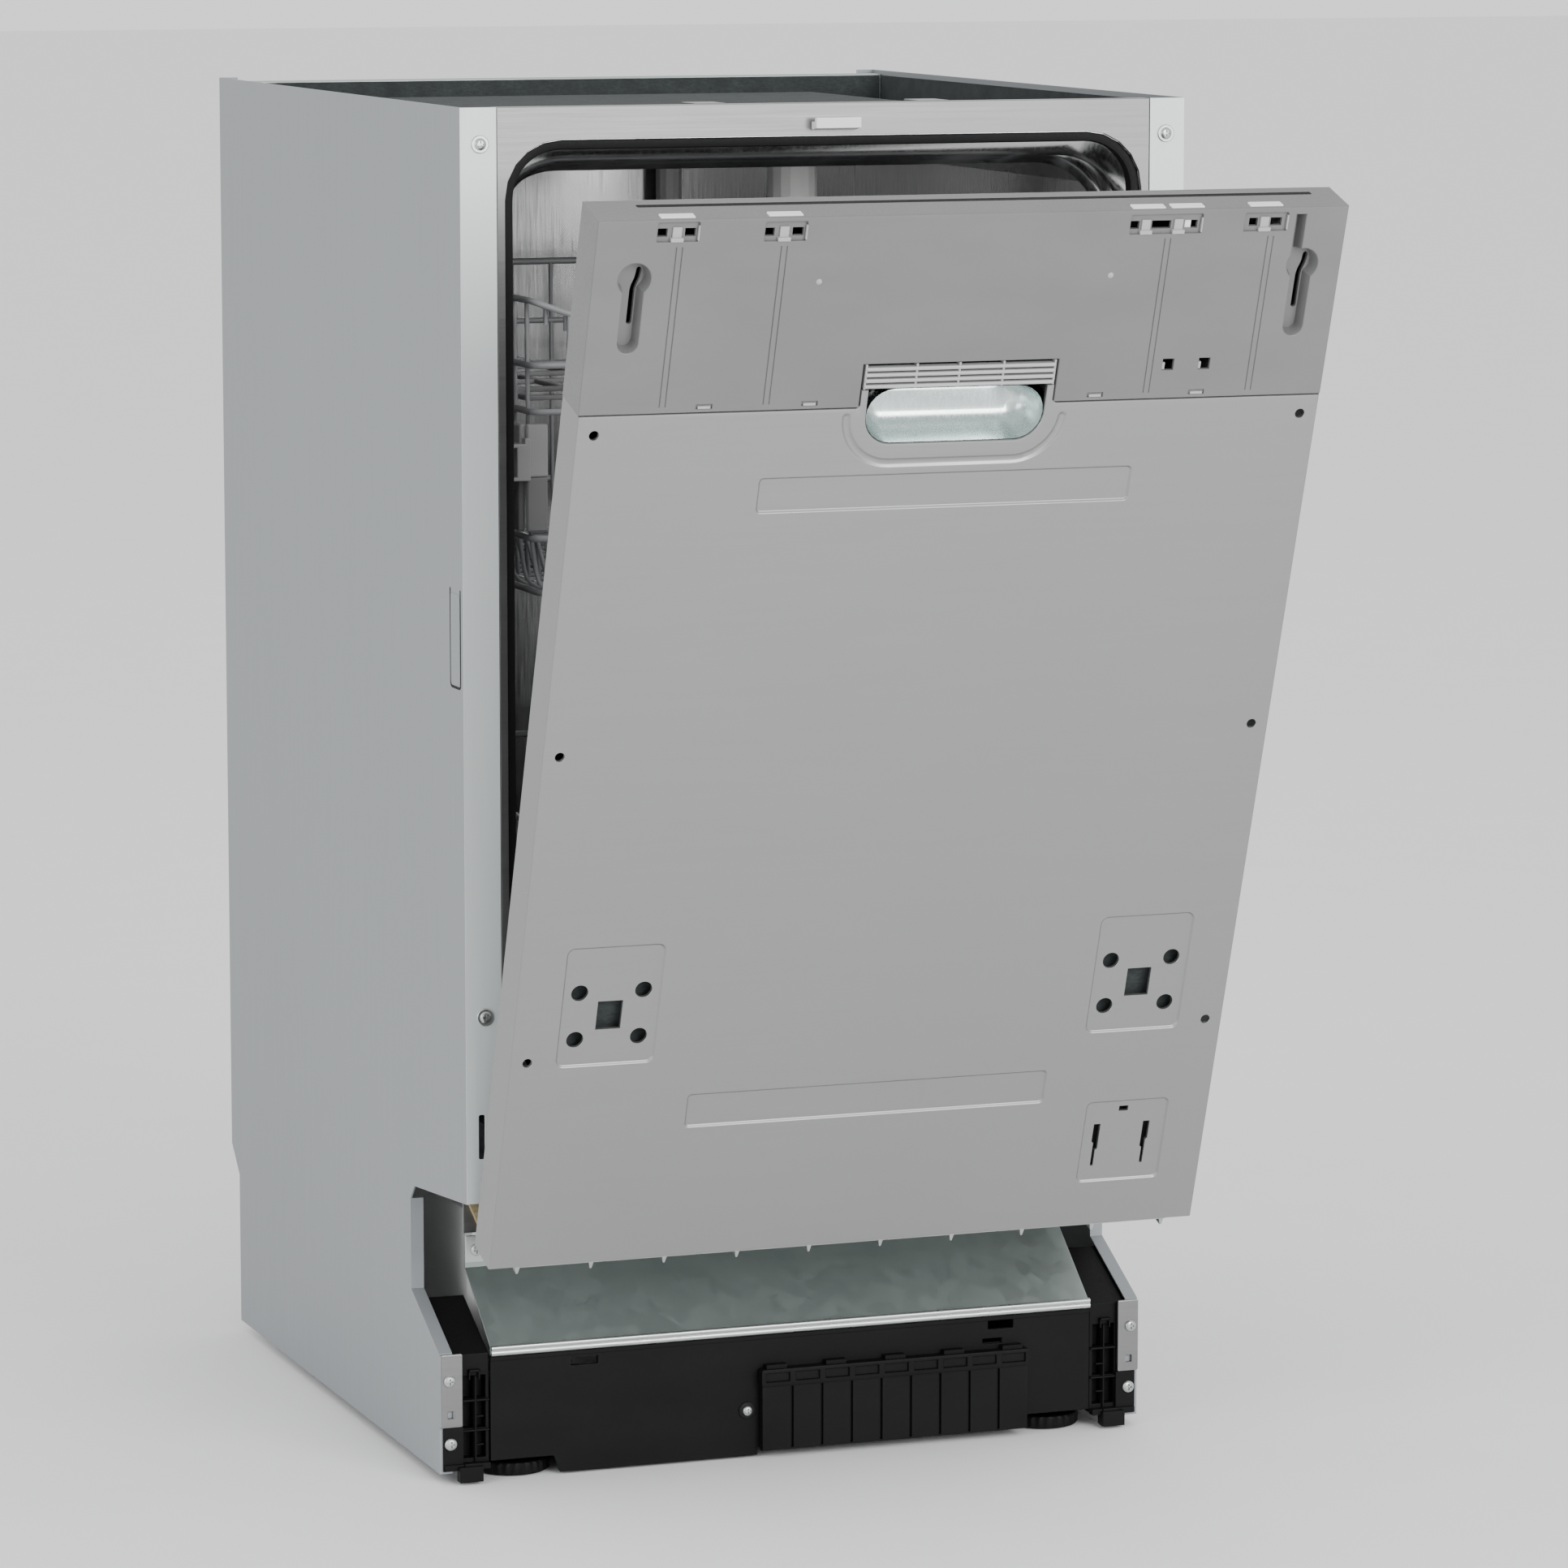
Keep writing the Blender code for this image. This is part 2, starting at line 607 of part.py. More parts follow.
def outer_panel_holes():
    """The screw holes, the two furniture-door hinge patterns and the slotted plate's openings."""
    base = DOOR_BOTTOM
    holes = [circle((x, base + s), 3.0, 8) for x in (-210.5, 210.0) for s in (524.5, 329.5, 135.3)]
    for x in (-163.8, 163.3):
        for across in (-19.2, 19.2):
            for s in (148.0, 178.0):
                holes.append(circle((x + across, base + s), 5.2, 10))
        holes.append(rectangle(x - 7.6, x + 7.6, base + 153.5, base + 172.0))
    holes.append(rectangle(163.5, 169.5, base + 75.8, base + 79.4))
    for x in (151.0, 182.6):
        holes.append(rectangle(x - 2.2, x + 2.2, base + 39.5, base + 68.0))
    return holes


def door_outer_panel():
    """The steel pan of the door: the face, two side flanges and the bottom flange."""
    back = DOOR_BACK - 1.6
    face = prism(outer_panel_outline(), "Y", DOOR_FRONT, DOOR_FRONT + SHEET, holes=outer_panel_holes())
    sides = [
        block(-DOOR_HALF, -DOOR_HALF + SHEET, DOOR_FRONT, back, DOOR_BOTTOM, SEAM),
        block(DOOR_HALF - SHEET, DOOR_HALF, DOOR_FRONT, back, DOOR_BOTTOM, SEAM),
        block(-DOOR_HALF, DOOR_HALF, DOOR_FRONT, DOOR_FRONT + 10.0, DOOR_BOTTOM, DOOR_BOTTOM + SHEET),
    ]
    return united(face, *sides)


def door_inner_panel():
    """The steel liner, with its raised field, dispenser window, latch window and hinge notches."""
    half = 216.0
    notch_x, notch_top = 203.0, 300.0
    outline = [(-notch_x, 166.0), (notch_x, 166.0), (notch_x, notch_top), (half, notch_top)]
    outline += [(half, DOOR_TOP - 0.4), (-half, DOOR_TOP - 0.4), (-half, notch_top), (-notch_x, notch_top)]
    latch = rectangle(-17.0, 24.0, 793.0, 811.0)
    sheet = prism(outline, "Y", DOOR_BACK - SHEET, DOOR_BACK, holes=[latch])
    field = prism(rounded(-176.0, 176.0, 191.0, 761.0, 24.0, 3), "Y", DOOR_BACK - SHEET, BULGE_BACK)
    hollow = prism(rounded(-175.0, 175.0, 192.0, 760.0, 23.0, 3), "Y", DOOR_BACK - 3.0, BULGE_BACK - SHEET)
    window = block(DISPENSER[0], DISPENSER[1], -10.0, BULGE_BACK + 5.0, DISPENSER[2], DISPENSER[3])
    return cut(united(sheet, field), hollow, window)


def keyhole(x):
    """A round entry with a narrower slot under it, for the hooks of the furniture door."""
    low, high = DOOR_BOTTOM + 572.0, DOOR_BOTTOM + 615.5
    y0, y1 = DOOR_FRONT - 5.0, DOOR_FRONT + 8.0
    entry = prism(circle((x, high), 10.0, 14), "Y", y0, y1)
    slot = prism(capsule(x - 6.5, x + 6.5, low, high + 3.0, 5), "Y", y0, y1)
    return [entry, slot]


def console_fascia():
    """The plastic control section of the door, open at the rear, with all its openings."""
    wall = CONSOLE_WALL
    bottom = SEAM + GAP
    y0, y1 = DOOR_FRONT - 5.0, DOOR_FRONT + 8.0
    half = DOOR_HALF + 0.3
    body = block(-half, half, DOOR_FRONT, DOOR_BACK - 1.6, bottom, DOOR_TOP)
    hollow = block(-half + wall, half - wall, DOOR_FRONT + wall, 5.0, bottom + wall, DOOR_TOP - wall)
    tab = POCKET_HALF + 5.0
    tools = [hollow, block(-tab, tab, y0, 5.0, bottom - 5.0, POCKET_TOP + GAP)]
    tools += [tool for x in (-196.8, 197.3) for tool in keyhole(x)]
    tools.append(block(189.0, 196.0, y0, y1, DOOR_BOTTOM + 622.0, DOOR_BOTTOM + 645.0))
    for x in BUTTONS.values():
        tools.append(block(x - 10.4, x + 10.4, -31.2, -25.0, DOOR_TOP - 6.0, DOOR_TOP + 5.0))
        tools.append(block(x - 10.0, x + 10.0, y0, y1, DOOR_BOTTOM + 637.5, DOOR_BOTTOM + 643.5))
    for x in (124.3, 146.3):
        tools.append(block(x - 3.6, x + 3.6, y0, y1, DOOR_BOTTOM + 553.3, DOOR_BOTTOM + 560.5))
    for column in range(4):
        for row in range(3):
            x = -41.4 + 27.6 * column
            z = DOOR_BOTTOM + 550.2 + 3.6 * row
            tools.append(block(x - 12.6, x + 12.6, y0, y1, z, z + 1.6))
    return cut(body, *tools)


def handle_pocket():
    """The glossy finger pocket under the console."""
    centre = POCKET_LOW + POCKET_RADIUS
    outer = POCKET_RADIUS - GAP
    inner = outer - 1.4
    reach = POCKET_HALF - POCKET_RADIUS
    back = DOOR_FRONT + POCKET_DEPTH
    shell = prism(
        capsule(-reach - outer, reach + outer, centre - outer, centre + outer, 6), "Y", DOOR_FRONT + 1.3, back
    )
    room = prism(
        capsule(-reach - inner, reach + inner, centre - inner, centre + inner, 6), "Y", DOOR_FRONT, back - 1.4
    )
    return cut(shell, room)


def control_board():
    return block(-150.0, 150.0, -21.0, -19.4, DOOR_BOTTOM + 575.0, DOOR_BOTTOM + 618.0)


def door_latch():
    """The latch housing behind the console, with the pocket that takes the strike."""
    body = block(-22.0, 29.0, -18.0, DOOR_BACK - 1.4, 783.0, 809.0)
    return cut(body, block(-16.0, 23.0, -13.0, 5.0, 785.5, 820.0))


def dispenser_housing():
    """The detergent and rinse-aid unit let into the inner panel."""
    x0, x1, z0, z1 = DISPENSER
    body = block(x0 + GAP, x1 - GAP, -19.0, BULGE_BACK + 1.0, z0 + GAP, z1 - GAP)
    return cut(
        body,
        block(-84.0, -14.0, -10.0, 20.0, 485.0, 549.0),
        rod("Y", (36.0, 520.0), 13.0, -8.0, 20.0, 14),
    )


def dispenser_lid():
    plate = block(-88.0, -10.0, BULGE_BACK + 1.3, BULGE_BACK + 3.3, 479.0, 555.0)
    grip = block(-70.0, -28.0, BULGE_BACK + 3.0, BULGE_BACK + 5.0, 545.0, 550.0)
    return united(plate, grip)


def rinse_cap():
    disc = rod("Y", (36.0, 520.0), 17.0, BULGE_BACK + 1.3, BULGE_BACK + 4.0, 16)
    return united(disc, block(34.0, 38.0, BULGE_BACK + 3.0, BULGE_BACK + 6.0, 505.0, 535.0))


def hinge_arm():
    """The left door arm: the eye on the hinge pin, the strap sector and the upright in the door."""
    outline = arc((HINGE_Y, HINGE_Z), 15.0, -110, 95, 8)
    outline += [(-6.0, 175.5), (-9.0, 190.0), (-9.0, 290.0), (-27.0, 290.0), (-27.0, 172.0), (-6.0, 165.5)]
    return prism(outline, "X", -208.4, -205.6, holes=[circle((HINGE_Y, HINGE_Z), 4.5, 12)])


def door_bottom_trim():
    """The toothed strip along the door's bottom edge."""
    spacing, teeth = 45.0, 10
    first = -spacing * (teeth - 1) / 2.0
    bottom = DOOR_BOTTOM - 0.3
    outline = [(-205.0, bottom - 1.0)]
    for i in range(teeth):
        x = first + i * spacing
        outline += [(x - 1.5, bottom - 1.0), (x - 0.6, bottom - 5.0), (x + 0.6, bottom - 5.0)]
        outline.append((x + 1.5, bottom - 1.0))
    outline += [(205.0, bottom - 1.0), (205.0, bottom), (-205.0, bottom)]
    return prism(outline, "Y", DOOR_FRONT + 2.0, DOOR_FRONT + 8.0)


def door_insulation():
    return block(-190.0, 190.0, -24.0, -20.5, 200.0, 660.0)


def button(x):
    """One push button: the cap on the console's top edge and the stem that shows in the front."""
    cap = block(x - 10.0, x + 10.0, -30.8, -25.4, DOOR_TOP - 4.0, DOOR_TOP + 0.6)
    stem = block(x - 3.0, x + 3.0, -30.1, -27.0, DOOR_BOTTOM + 636.0, DOOR_TOP - 3.0)
    return united(cap, stem)


def make_door(door):
    left_arm = hinge_arm()
    part("door_outer_panel", door_outer_panel(), "brushed_steel", door)
    part("door_inner_panel", door_inner_panel(), "tub_steel", door)
    part("console_fascia", console_fascia(), "console_plastic", door)
    part("handle_pocket", handle_pocket(), "tub_steel", door)
    part("control_board", control_board(), "board", door)
    part("door_latch", door_latch(), "black_plastic", door)
    part("dispenser_housing", dispenser_housing(), "grey_plastic", door)
    part("hinge_arm_right", mirrored(left_arm), "zinc_steel", door)
    part("hinge_arm_left", left_arm, "zinc_steel", door)
    part("door_bottom_trim", door_bottom_trim(), "zinc_steel", door)
    part("door_insulation", door_insulation(), "felt", door)
    for name, x in BUTTONS.items():
        part(name, button(x), "white_plastic", moving(name, (x, -28.0, DOOR_TOP), door))
    hook = block(-10.0, 17.0, -12.0, -5.0, 791.0, 797.5)
    part("latch_hook", hook, "white_plastic", moving("latch_hook", (3.5, -8.5, 794.0), door))
    lid_axis = moving("dispenser_lid", (-49.0, BULGE_BACK + 2.3, 517.0), door)
    part("dispenser_lid", dispenser_lid(), "grey_plastic", lid_axis)
    cap_axis = moving("rinse_cap", (36.0, BULGE_BACK + 1.3, 520.0), door)
    part("rinse_cap", rinse_cap(), "grey_plastic", cap_axis)


# ---------------------------------------------------------------- racks and spray arms

def windows(u0, u1, v0, v1, columns, rows, bar):
    """Equal rectangular windows between bars of one width."""
    wide = (u1 - u0 - bar * (columns + 1)) / columns
    high = (v1 - v0 - bar * (rows + 1)) / rows
    holes = []
    for i in range(columns):
        for j in range(rows):
            u = u0 + bar + i * (wide + bar)
            v = v0 + bar + j * (high + bar)
            holes.append(rectangle(u, u + wide, v, v + high))
    return holes


def basket(half, front, rear, floor, top, bar):
    """A coarse open basket: a barred floor and four barred walls."""
    thick = 3.0
    across, along = 4, 5
    grid = prism(
        rectangle(-half, half, front, rear), "Z", floor, floor + thick,
        holes=windows(-half, half, front, rear, across, along, bar),
    )
    walls = []
    for x in (-half, half - thick):
        holes = windows(front, rear, floor, top, along, 1, bar)
        walls.append(prism(rectangle(front, rear, floor, top), "X", x, x + thick, holes=holes))
    for y in (front, rear - thick):
        holes = windows(-half, half, floor, top, across, 1, bar)
        walls.append(prism(rectangle(-half, half, floor, top), "Y", y, y + thick, holes=holes))
    return [grid, *walls]


def upper_rack():
    """The upper basket, with its side rails and the mount of its spray arm."""
    pieces = basket(UPPER_HALF, UPPER_FRONT, UPPER_REAR, UPPER_FLOOR, UPPER_TOP, 6.0)
    for x0, x1, web0, web1 in ((-188.0, -167.0, -176.0, -174.0), (167.0, 188.0, 174.0, 176.0)):
        channel = [
            block(x0, x1, UPPER_FRONT + 2.0, UPPER_REAR + 12.0, RAIL_Z - 11.0, RAIL_Z - 9.0),
            block(x0, x1, UPPER_FRONT + 2.0, UPPER_REAR + 12.0, RAIL_Z + 9.0, RAIL_Z + 11.0),
            block(web0, web1, UPPER_FRONT + 2.0, UPPER_REAR + 12.0, RAIL_Z - 10.0, RAIL_Z + 10.0),
        ]
        pieces += channel
    pieces.append(rod("Z", (0.0, UPPER_HUB_Y), 12.0, 521.0, UPPER_FLOOR + 1.5, 10))
    return united(*pieces)


def lower_rack():
    """The lower basket, with four legs that carry the wheels."""
    pieces = basket(LOWER_HALF, LOWER_FRONT, LOWER_REAR, LOWER_FLOOR, LOWER_TOP, 6.0)
    for side in (-1.0, 1.0):
        for y in (FRONT_WHEEL_Y, REAR_WHEEL_Y):
            x0, x1 = sorted((side * LOWER_HALF, side * (LOWER_HALF - 3.0)))
            pieces.append(block(x0, x1, y - 6.0, y + 6.0, WHEEL_Z - 6.0, LOWER_FLOOR + 8.0))
            a, b = sorted((side * (LOWER_HALF - 2.0), side * (LOWER_HALF + 3.5)))
            pieces.append(rod("X", (y, WHEEL_Z), 4.0, a, b, 10))
    return united(*pieces)


def cup_shelf():
    x, z = SHELF_HINGE
    holes = windows(x + 4.0, -72.0, 84.0, 366.0, 2, 5, 5.0)
    return prism(rectangle(x + 1.0, -70.0, 80.0, 370.0), "Z", z - 1.5, z + 1.5, holes=holes)


def cutlery_basket():
    """The open cutlery basket that stands in the lower rack, with slatted long sides."""
    body = block(84.0, 158.0, 60.0, 230.0, 232.0, 340.0)
    room = block(86.0, 156.0, 62.0, 228.0, 234.0, 345.0)
    slots = [block(80.0, 162.0, y, y + 16.0, 246.0, 318.0) for y in (70.0, 100.0, 130.0, 160.0, 190.0)]
    return cut(body, room, *slots)


def spray_arm(centre_y, z, reach):
    """A two-ended arm with tapering blades and a round hub, lying front to back."""
    blade = [(-17.0, centre_y), (-9.0, centre_y - reach), (9.0, centre_y - reach), (17.0, centre_y)]
    blade += [(9.0, centre_y + reach), (-9.0, centre_y + reach)]
    arm = prism(blade, "Z", z, z + 8.0)
    return united(arm, rod("Z", (0.0, centre_y), 22.0, z - 1.0, z + 12.0, 14))


def lower_spray_arm():
    return spray_arm(ARM_HUB[1], 207.0, 158.0)


def upper_spray_arm():
    return spray_arm(UPPER_HUB_Y, 507.0, 158.0)


def rack_wheel(side, y):
    low, high = sorted((side * (LOWER_HALF + 4.0), side * (LOWER_HALF + 16.0)))
    return prism(circle((y, WHEEL_Z), WHEEL_RADIUS, 16), "X", low, high)


def make_racks(cabinet):
    upper = moving("upper_rack", (0.0, UPPER_FRONT, RAIL_Z), cabinet)
    lower = moving("lower_rack", (0.0, LOWER_FRONT, WHEEL_Z), cabinet)
    part("upper_rack", upper_rack(), "rack_wire", upper)
    part("lower_rack", lower_rack(), "rack_wire", lower)
    part("cutlery_basket", cutlery_basket(), "grey_plastic", lower)
    shelf_axis = moving("cup_shelf", (SHELF_HINGE[0], 225.0, SHELF_HINGE[1]), upper)
    part("cup_shelf", cup_shelf(), "grey_plastic", shelf_axis)
    upper_hub = moving("upper_spray_arm", (0.0, UPPER_HUB_Y, 511.0), upper)
    part("upper_spray_arm", upper_spray_arm(), "grey_plastic", upper_hub)
    lower_hub = moving("lower_spray_arm", (*ARM_HUB, 211.0), cabinet)
    part("lower_spray_arm", lower_spray_arm(), "grey_plastic", lower_hub)
    wheels = {
        "lower_wheel_front_left": (-1.0, FRONT_WHEEL_Y),
        "lower_wheel_front_right": (1.0, FRONT_WHEEL_Y),
        "lower_wheel_rear_left": (-1.0, REAR_WHEEL_Y),
        "lower_wheel_rear_right": (1.0, REAR_WHEEL_Y),
    }
    for name, (side, y) in wheels.items():
        axle = moving(name, (side * LOWER_HALF, y, WHEEL_Z), lower)
        part(name, rack_wheel(side, y), "grey_plastic", axle)


# ---------------------------------------------------------------- feet, filter and salt cap

def foot(x, y):
    """A levelling foot: a disc with its threaded stem, drawn as a plain rod."""
    profile = [(0.0, 0.0), (FOOT_RADIUS - 2.0, 0.0), (FOOT_RADIUS, 2.0), (FOOT_RADIUS, 7.5)]
    profile += [(STEM_RADIUS, 7.5), (STEM_RADIUS, 54.0), (0.0, 54.0)]
    return turned(profile, "Z", (x, y), 16)


def filter_cup():
    """The lift-out filter: a cup with a rim on the tub floor and a cross grip."""
    rim_low, rim_high = TUB_FLOOR + GAP, TUB_FLOOR + 3.0
    profile = [(0.0, 100.0), (37.0, 100.0), (37.0, rim_low), (45.0, rim_low), (45.0, rim_high)]
    profile += [(34.0, rim_high), (34.0, 103.0), (0.0, 103.0)]
    grip = block(FILTER_PORT[0] - 38.0, FILTER_PORT[0] + 38.0, FILTER_PORT[1] - 3.0, FILTER_PORT[1] + 3.0,
                 rim_low + 1.0, TUB_FLOOR + 14.0)
    return united(turned(profile, "Z", FILTER_PORT, 18), grip)


def salt_cap():
    x, y = SALT_PORT
    disc = rod("Z", SALT_PORT, 28.0, TUB_FLOOR + 0.5, TUB_FLOOR + 7.0, 18)
    return united(disc, block(x - 22.0, x + 22.0, y - 3.0, y + 3.0, TUB_FLOOR + 6.0, TUB_FLOOR + 13.0))


def make_fittings(cabinet):
    feet = {
        "foot_front_left": (-FOOT_X, FOOT_Y),
        "foot_front_right": (FOOT_X, FOOT_Y),
        "foot_rear": (0.0, REAR_FOOT_Y),
    }
    for name, (x, y) in feet.items():
        part(name, foot(x, y), "black_plastic", moving(name, (x, y, 0.0), cabinet))
    filter_axis = moving("filter", (*FILTER_PORT, TUB_FLOOR), cabinet)
    part("filter", filter_cup(), "grey_plastic", filter_axis)
    salt_axis = moving("salt_cap", (*SALT_PORT, TUB_FLOOR), cabinet)
    part("salt_cap", salt_cap(), "white_plastic", salt_axis)


# ---------------------------------------------------------------- assembly

def ajar_reach():
    """How far the ajar door's top front edge stands in front of the flange plane."""
    forward = DOOR_FRONT - HINGE_Y
    up = DOOR_TOP - HINGE_Z
    return -(HINGE_Y + forward * math.cos(AJAR) - up * math.sin(AJAR))


def main():
    for item in list(bpy.data.objects):
        bpy.data.objects.remove(item)
    cabinet = frame_empty("cabinet", (0.0, 0.0, 0.0))
    cabinet.location.y = (ajar_reach() - DEPTH) / 2.0 * MM
    door = frame_empty("door", (0.0, HINGE_Y, HINGE_Z), cabinet, tilt=AJAR)
    make_cabinet(cabinet)
    make_door(door)
    make_racks(cabinet)
    make_fittings(cabinet)


main()
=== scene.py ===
"""Looks of the slim fully integrated dishwasher, with its door ajar.

Every piece is drawn in millimetres with the door closed, as the CAD part is: X to the right, Y to the
rear, Z up, y = 0 the cabinet's front plane and z = 0 the floor. The matrices CABINET and DOOR put such a
drawing into the row frame.
"""
import json
import math

import bmesh
import bpy
from mathutils import Matrix, Vector


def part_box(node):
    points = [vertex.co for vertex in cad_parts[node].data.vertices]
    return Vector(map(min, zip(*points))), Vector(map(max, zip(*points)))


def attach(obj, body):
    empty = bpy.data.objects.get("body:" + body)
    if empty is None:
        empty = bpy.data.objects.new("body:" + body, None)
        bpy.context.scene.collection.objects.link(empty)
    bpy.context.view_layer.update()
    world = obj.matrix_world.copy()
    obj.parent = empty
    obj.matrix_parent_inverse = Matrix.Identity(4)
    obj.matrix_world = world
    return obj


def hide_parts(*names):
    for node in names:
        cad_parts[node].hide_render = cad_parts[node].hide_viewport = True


MM = 0.001
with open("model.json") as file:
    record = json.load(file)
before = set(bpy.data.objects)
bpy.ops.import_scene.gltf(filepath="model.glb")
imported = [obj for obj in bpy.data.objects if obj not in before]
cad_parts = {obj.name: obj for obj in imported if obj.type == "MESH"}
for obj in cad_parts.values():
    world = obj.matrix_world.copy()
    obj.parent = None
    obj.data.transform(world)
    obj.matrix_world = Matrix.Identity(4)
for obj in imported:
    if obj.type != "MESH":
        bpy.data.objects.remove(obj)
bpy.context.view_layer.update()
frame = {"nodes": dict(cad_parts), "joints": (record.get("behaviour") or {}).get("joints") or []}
SCENE = bpy.context.scene

# -------- sizes, as in the CAD part

HALF = 224.0
TUB_HALF = 196.5
TUB_CEILING = 795.5
TUB_CORNER = 34.0
DOOR_HALF = 220.5
DOOR_FRONT = -33.0
DOOR_BACK = -2.5
DOOR_BOTTOM = 163.0
SEAM = DOOR_BOTTOM + 536.0
DOOR_TOP = DOOR_BOTTOM + 650.0
CONSOLE_HALF = 220.8
CONSOLE_REAR = -4.1
POCKET_HALF = 53.0
POCKET_RADIUS = 16.5
POCKET_LOW = DOOR_BOTTOM + 514.0
POCKET_TOP = DOOR_BOTTOM + 546.8
BASE_FRONT = 57.0
UPPER = (168.0, 44.0, 404.0, 527.0, 703.0)      # half width, front, rear, floor and top of the basket
LOWER = (171.0, 33.0, 420.0, 228.0, 398.0)
RIM_DIPS = (26.0, 22.0)                         # how far the upper and lower basket's front rim hangs
RAIL_Z = 607.0
WHEEL_Z = 198.8
WHEEL_RADIUS = 15.0
FRONT_WHEEL_Y = 136.0
REAR_WHEEL_Y = 395.0
CEILING_SPRAY = (62.0, 232.0)
UPPER_ARM = (224.0, 507.0)                      # y of the hub, z of the underside
LOWER_ARM = (240.0, 207.0)
ARM_REACH = 158.0
FEET = {"foot_front_left": (-171.5, 83.0), "foot_front_right": (171.5, 83.0), "foot_rear": (0.0, 462.0)}
BUTTON_X = (-174.7, -112.8, 100.6, 124.0, 171.5)
KEYHOLES = ((-196.8, False), (197.3, True))     # x, and whether the keyhole is open towards the top edge
SEAM_HOOK_X = (-148.8, -87.4, 82.4, 143.8)
SQUARE_HOLE_X = (124.3, 146.3)
SIDES = {-1.0: "left", 1.0: "right"}            # the sign of x on each side

HINGE = next(joint for joint in frame["joints"] if joint["name"] == "door_hinge")
AJAR = math.radians(-HINGE["range_deg"][0])
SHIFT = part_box("left_side_panel")[0].y          # where the cabinet's front plane is in the row frame
HINGE_DRAWN = Vector(HINGE["pos_m"]) - Vector((0.0, SHIFT, 0.0))
CAMERA_AT = (-1.3450, -3.7481, 0.9637)
CAMERA_TURN = (math.radians(20.05), math.radians(8.09))         # azimuth and downward tilt
CABINET = Matrix.Translation((0.0, SHIFT, 0.0))
DOOR = (CABINET @ Matrix.Translation(HINGE_DRAWN) @ Matrix.Rotation(AJAR, 4, "X")
        @ Matrix.Translation(-HINGE_DRAWN))


# -------- outlines

def rectangle(u0, u1, v0, v1):
    return [(u0, v0), (u1, v0), (u1, v1), (u0, v1)]


def arc(centre, radius, start, end, steps):
    points = []
    for i in range(steps + 1):
        angle = math.radians(start + (end - start) * i / steps)
        points.append((centre[0] + radius * math.cos(angle), centre[1] + radius * math.sin(angle)))
    return points


def circle(centre, radius, steps=16):
    return arc(centre, radius, 0.0, 360.0, steps)[:-1]


def rounded(u0, u1, v0, v1, radius, steps=4):
    points = arc((u1 - radius, v0 + radius), radius, -90, 0, steps)
    points += arc((u1 - radius, v1 - radius), radius, 0, 90, steps)
    points += arc((u0 + radius, v1 - radius), radius, 90, 180, steps)
    return points + arc((u0 + radius, v0 + radius), radius, 180, 270, steps)


def capsule(u0, u1, v0, v1, steps=12):
    radius = (v1 - v0) / 2.0
    points = arc((u1 - radius, v0 + radius), radius, -90, 90, steps)
    return points + arc((u0 + radius, v0 + radius), radius, 90, 270, steps)


def band(path, half):
    """The outline of a strip that follows a path, with round ends."""
    points = [Vector(point) for point in path]
    right, left = [], []
    for i, point in enumerate(points):
        ahead = points[min(i + 1, len(points) - 1)] - points[max(i - 1, 0)]
        side = Vector((ahead.y, -ahead.x)).normalized() * half
        right.append(tuple(point + side))
        left.append(tuple(point - side))
    end = math.degrees(math.atan2(*reversed(points[-1] - points[-2])))
    start = math.degrees(math.atan2(*reversed(points[1] - points[0])))
    last_cap = arc(points[-1], half, end - 90, end + 90, 6)[1:-1]
    first_cap = arc(points[0], half, start + 90, start + 270, 6)[1:-1]
    return right + last_cap + left[::-1] + first_cap


def inset(outline, distance):
    """A counter-clockwise outline, shrunk by a distance along every side."""
    result = []
    for i, point in enumerate(outline):
        before = (Vector(point) - Vector(outline[i - 1])).normalized()
        after = (Vector(outline[(i + 1) % len(outline)]) - Vector(point)).normalized()
        first = Vector((-before.y, before.x))
        normal = (first + Vector((-after.y, after.x))).normalized()
        result.append(tuple(Vector(point) + normal * distance / max(normal.dot(first), 0.4)))
    return result


# -------- shapes

def bridge(shape, near, far):
    """Faces between two rings of corners."""
    for i in range(len(near)):
        shape.faces.new((near[i - 1], near[i], far[i], far[i - 1]))


class Face:
    """A sheet drawn in (u, v), with depths that count away from the viewer; place gives its (x, y, z)."""

    def __init__(self, place):
        self.shape = bmesh.new()
        self.place = place

    def ring(self, outline, depth):
        return [self.shape.verts.new(self.place(u, v, depth)) for u, v in outline]

    def bridge(self, near, far):
        bridge(self.shape, near, far)

    def stair(self, outline, steps):
        """Rings of an outline at (inset, depth) steps, joined to each other; returns the first and last."""
        rings = [self.ring(inset(outline, shrink), depth) for shrink, depth in steps]
        for near, far in zip(rings, rings[1:]):
            self.bridge(near, far)
        return rings[0], rings[-1]

    def fill(self, *rings):
        edges = []
        for ring in rings:
            for i, corner in enumerate(ring):
                edge = self.shape.edges.get((ring[i - 1], corner))
                edges.append(edge or self.shape.edges.new((ring[i - 1], corner)))
        bmesh.ops.triangle_fill(self.shape, use_beauty=True, use_dissolve=False, edges=edges)

    def press(self, outline, steps, holes=(), floor=True):
        """A pressed-in field or, without a floor, an opening; returns its rim, for the face to leave out."""
        rim, last = self.stair(outline, steps)
        if floor:
            self.fill(last, *[self.punch(hole, steps[-1][1]) for hole in holes])
        return rim

    def punch(self, outline, depth=0.0, through=2.2):
        """A punched opening in a sheet that lies at a depth."""
        return self.press(outline, punched(depth, through), floor=False)


def punched(depth, through):
    """The steps of a punched opening in a sheet that lies at a depth."""
    return [(0.0, depth), (0.18, depth + 0.25), (0.18, depth + through)]


def pressed(depth, run=1.6):
    """The steps of a soft-edged pressing."""
    part_way = [(share * run, fall * depth) for share, fall in ((0.2, 0.08), (0.5, 0.5), (0.8, 0.92))]
    return [(0.0, 0.0), *part_way, (run, depth)]


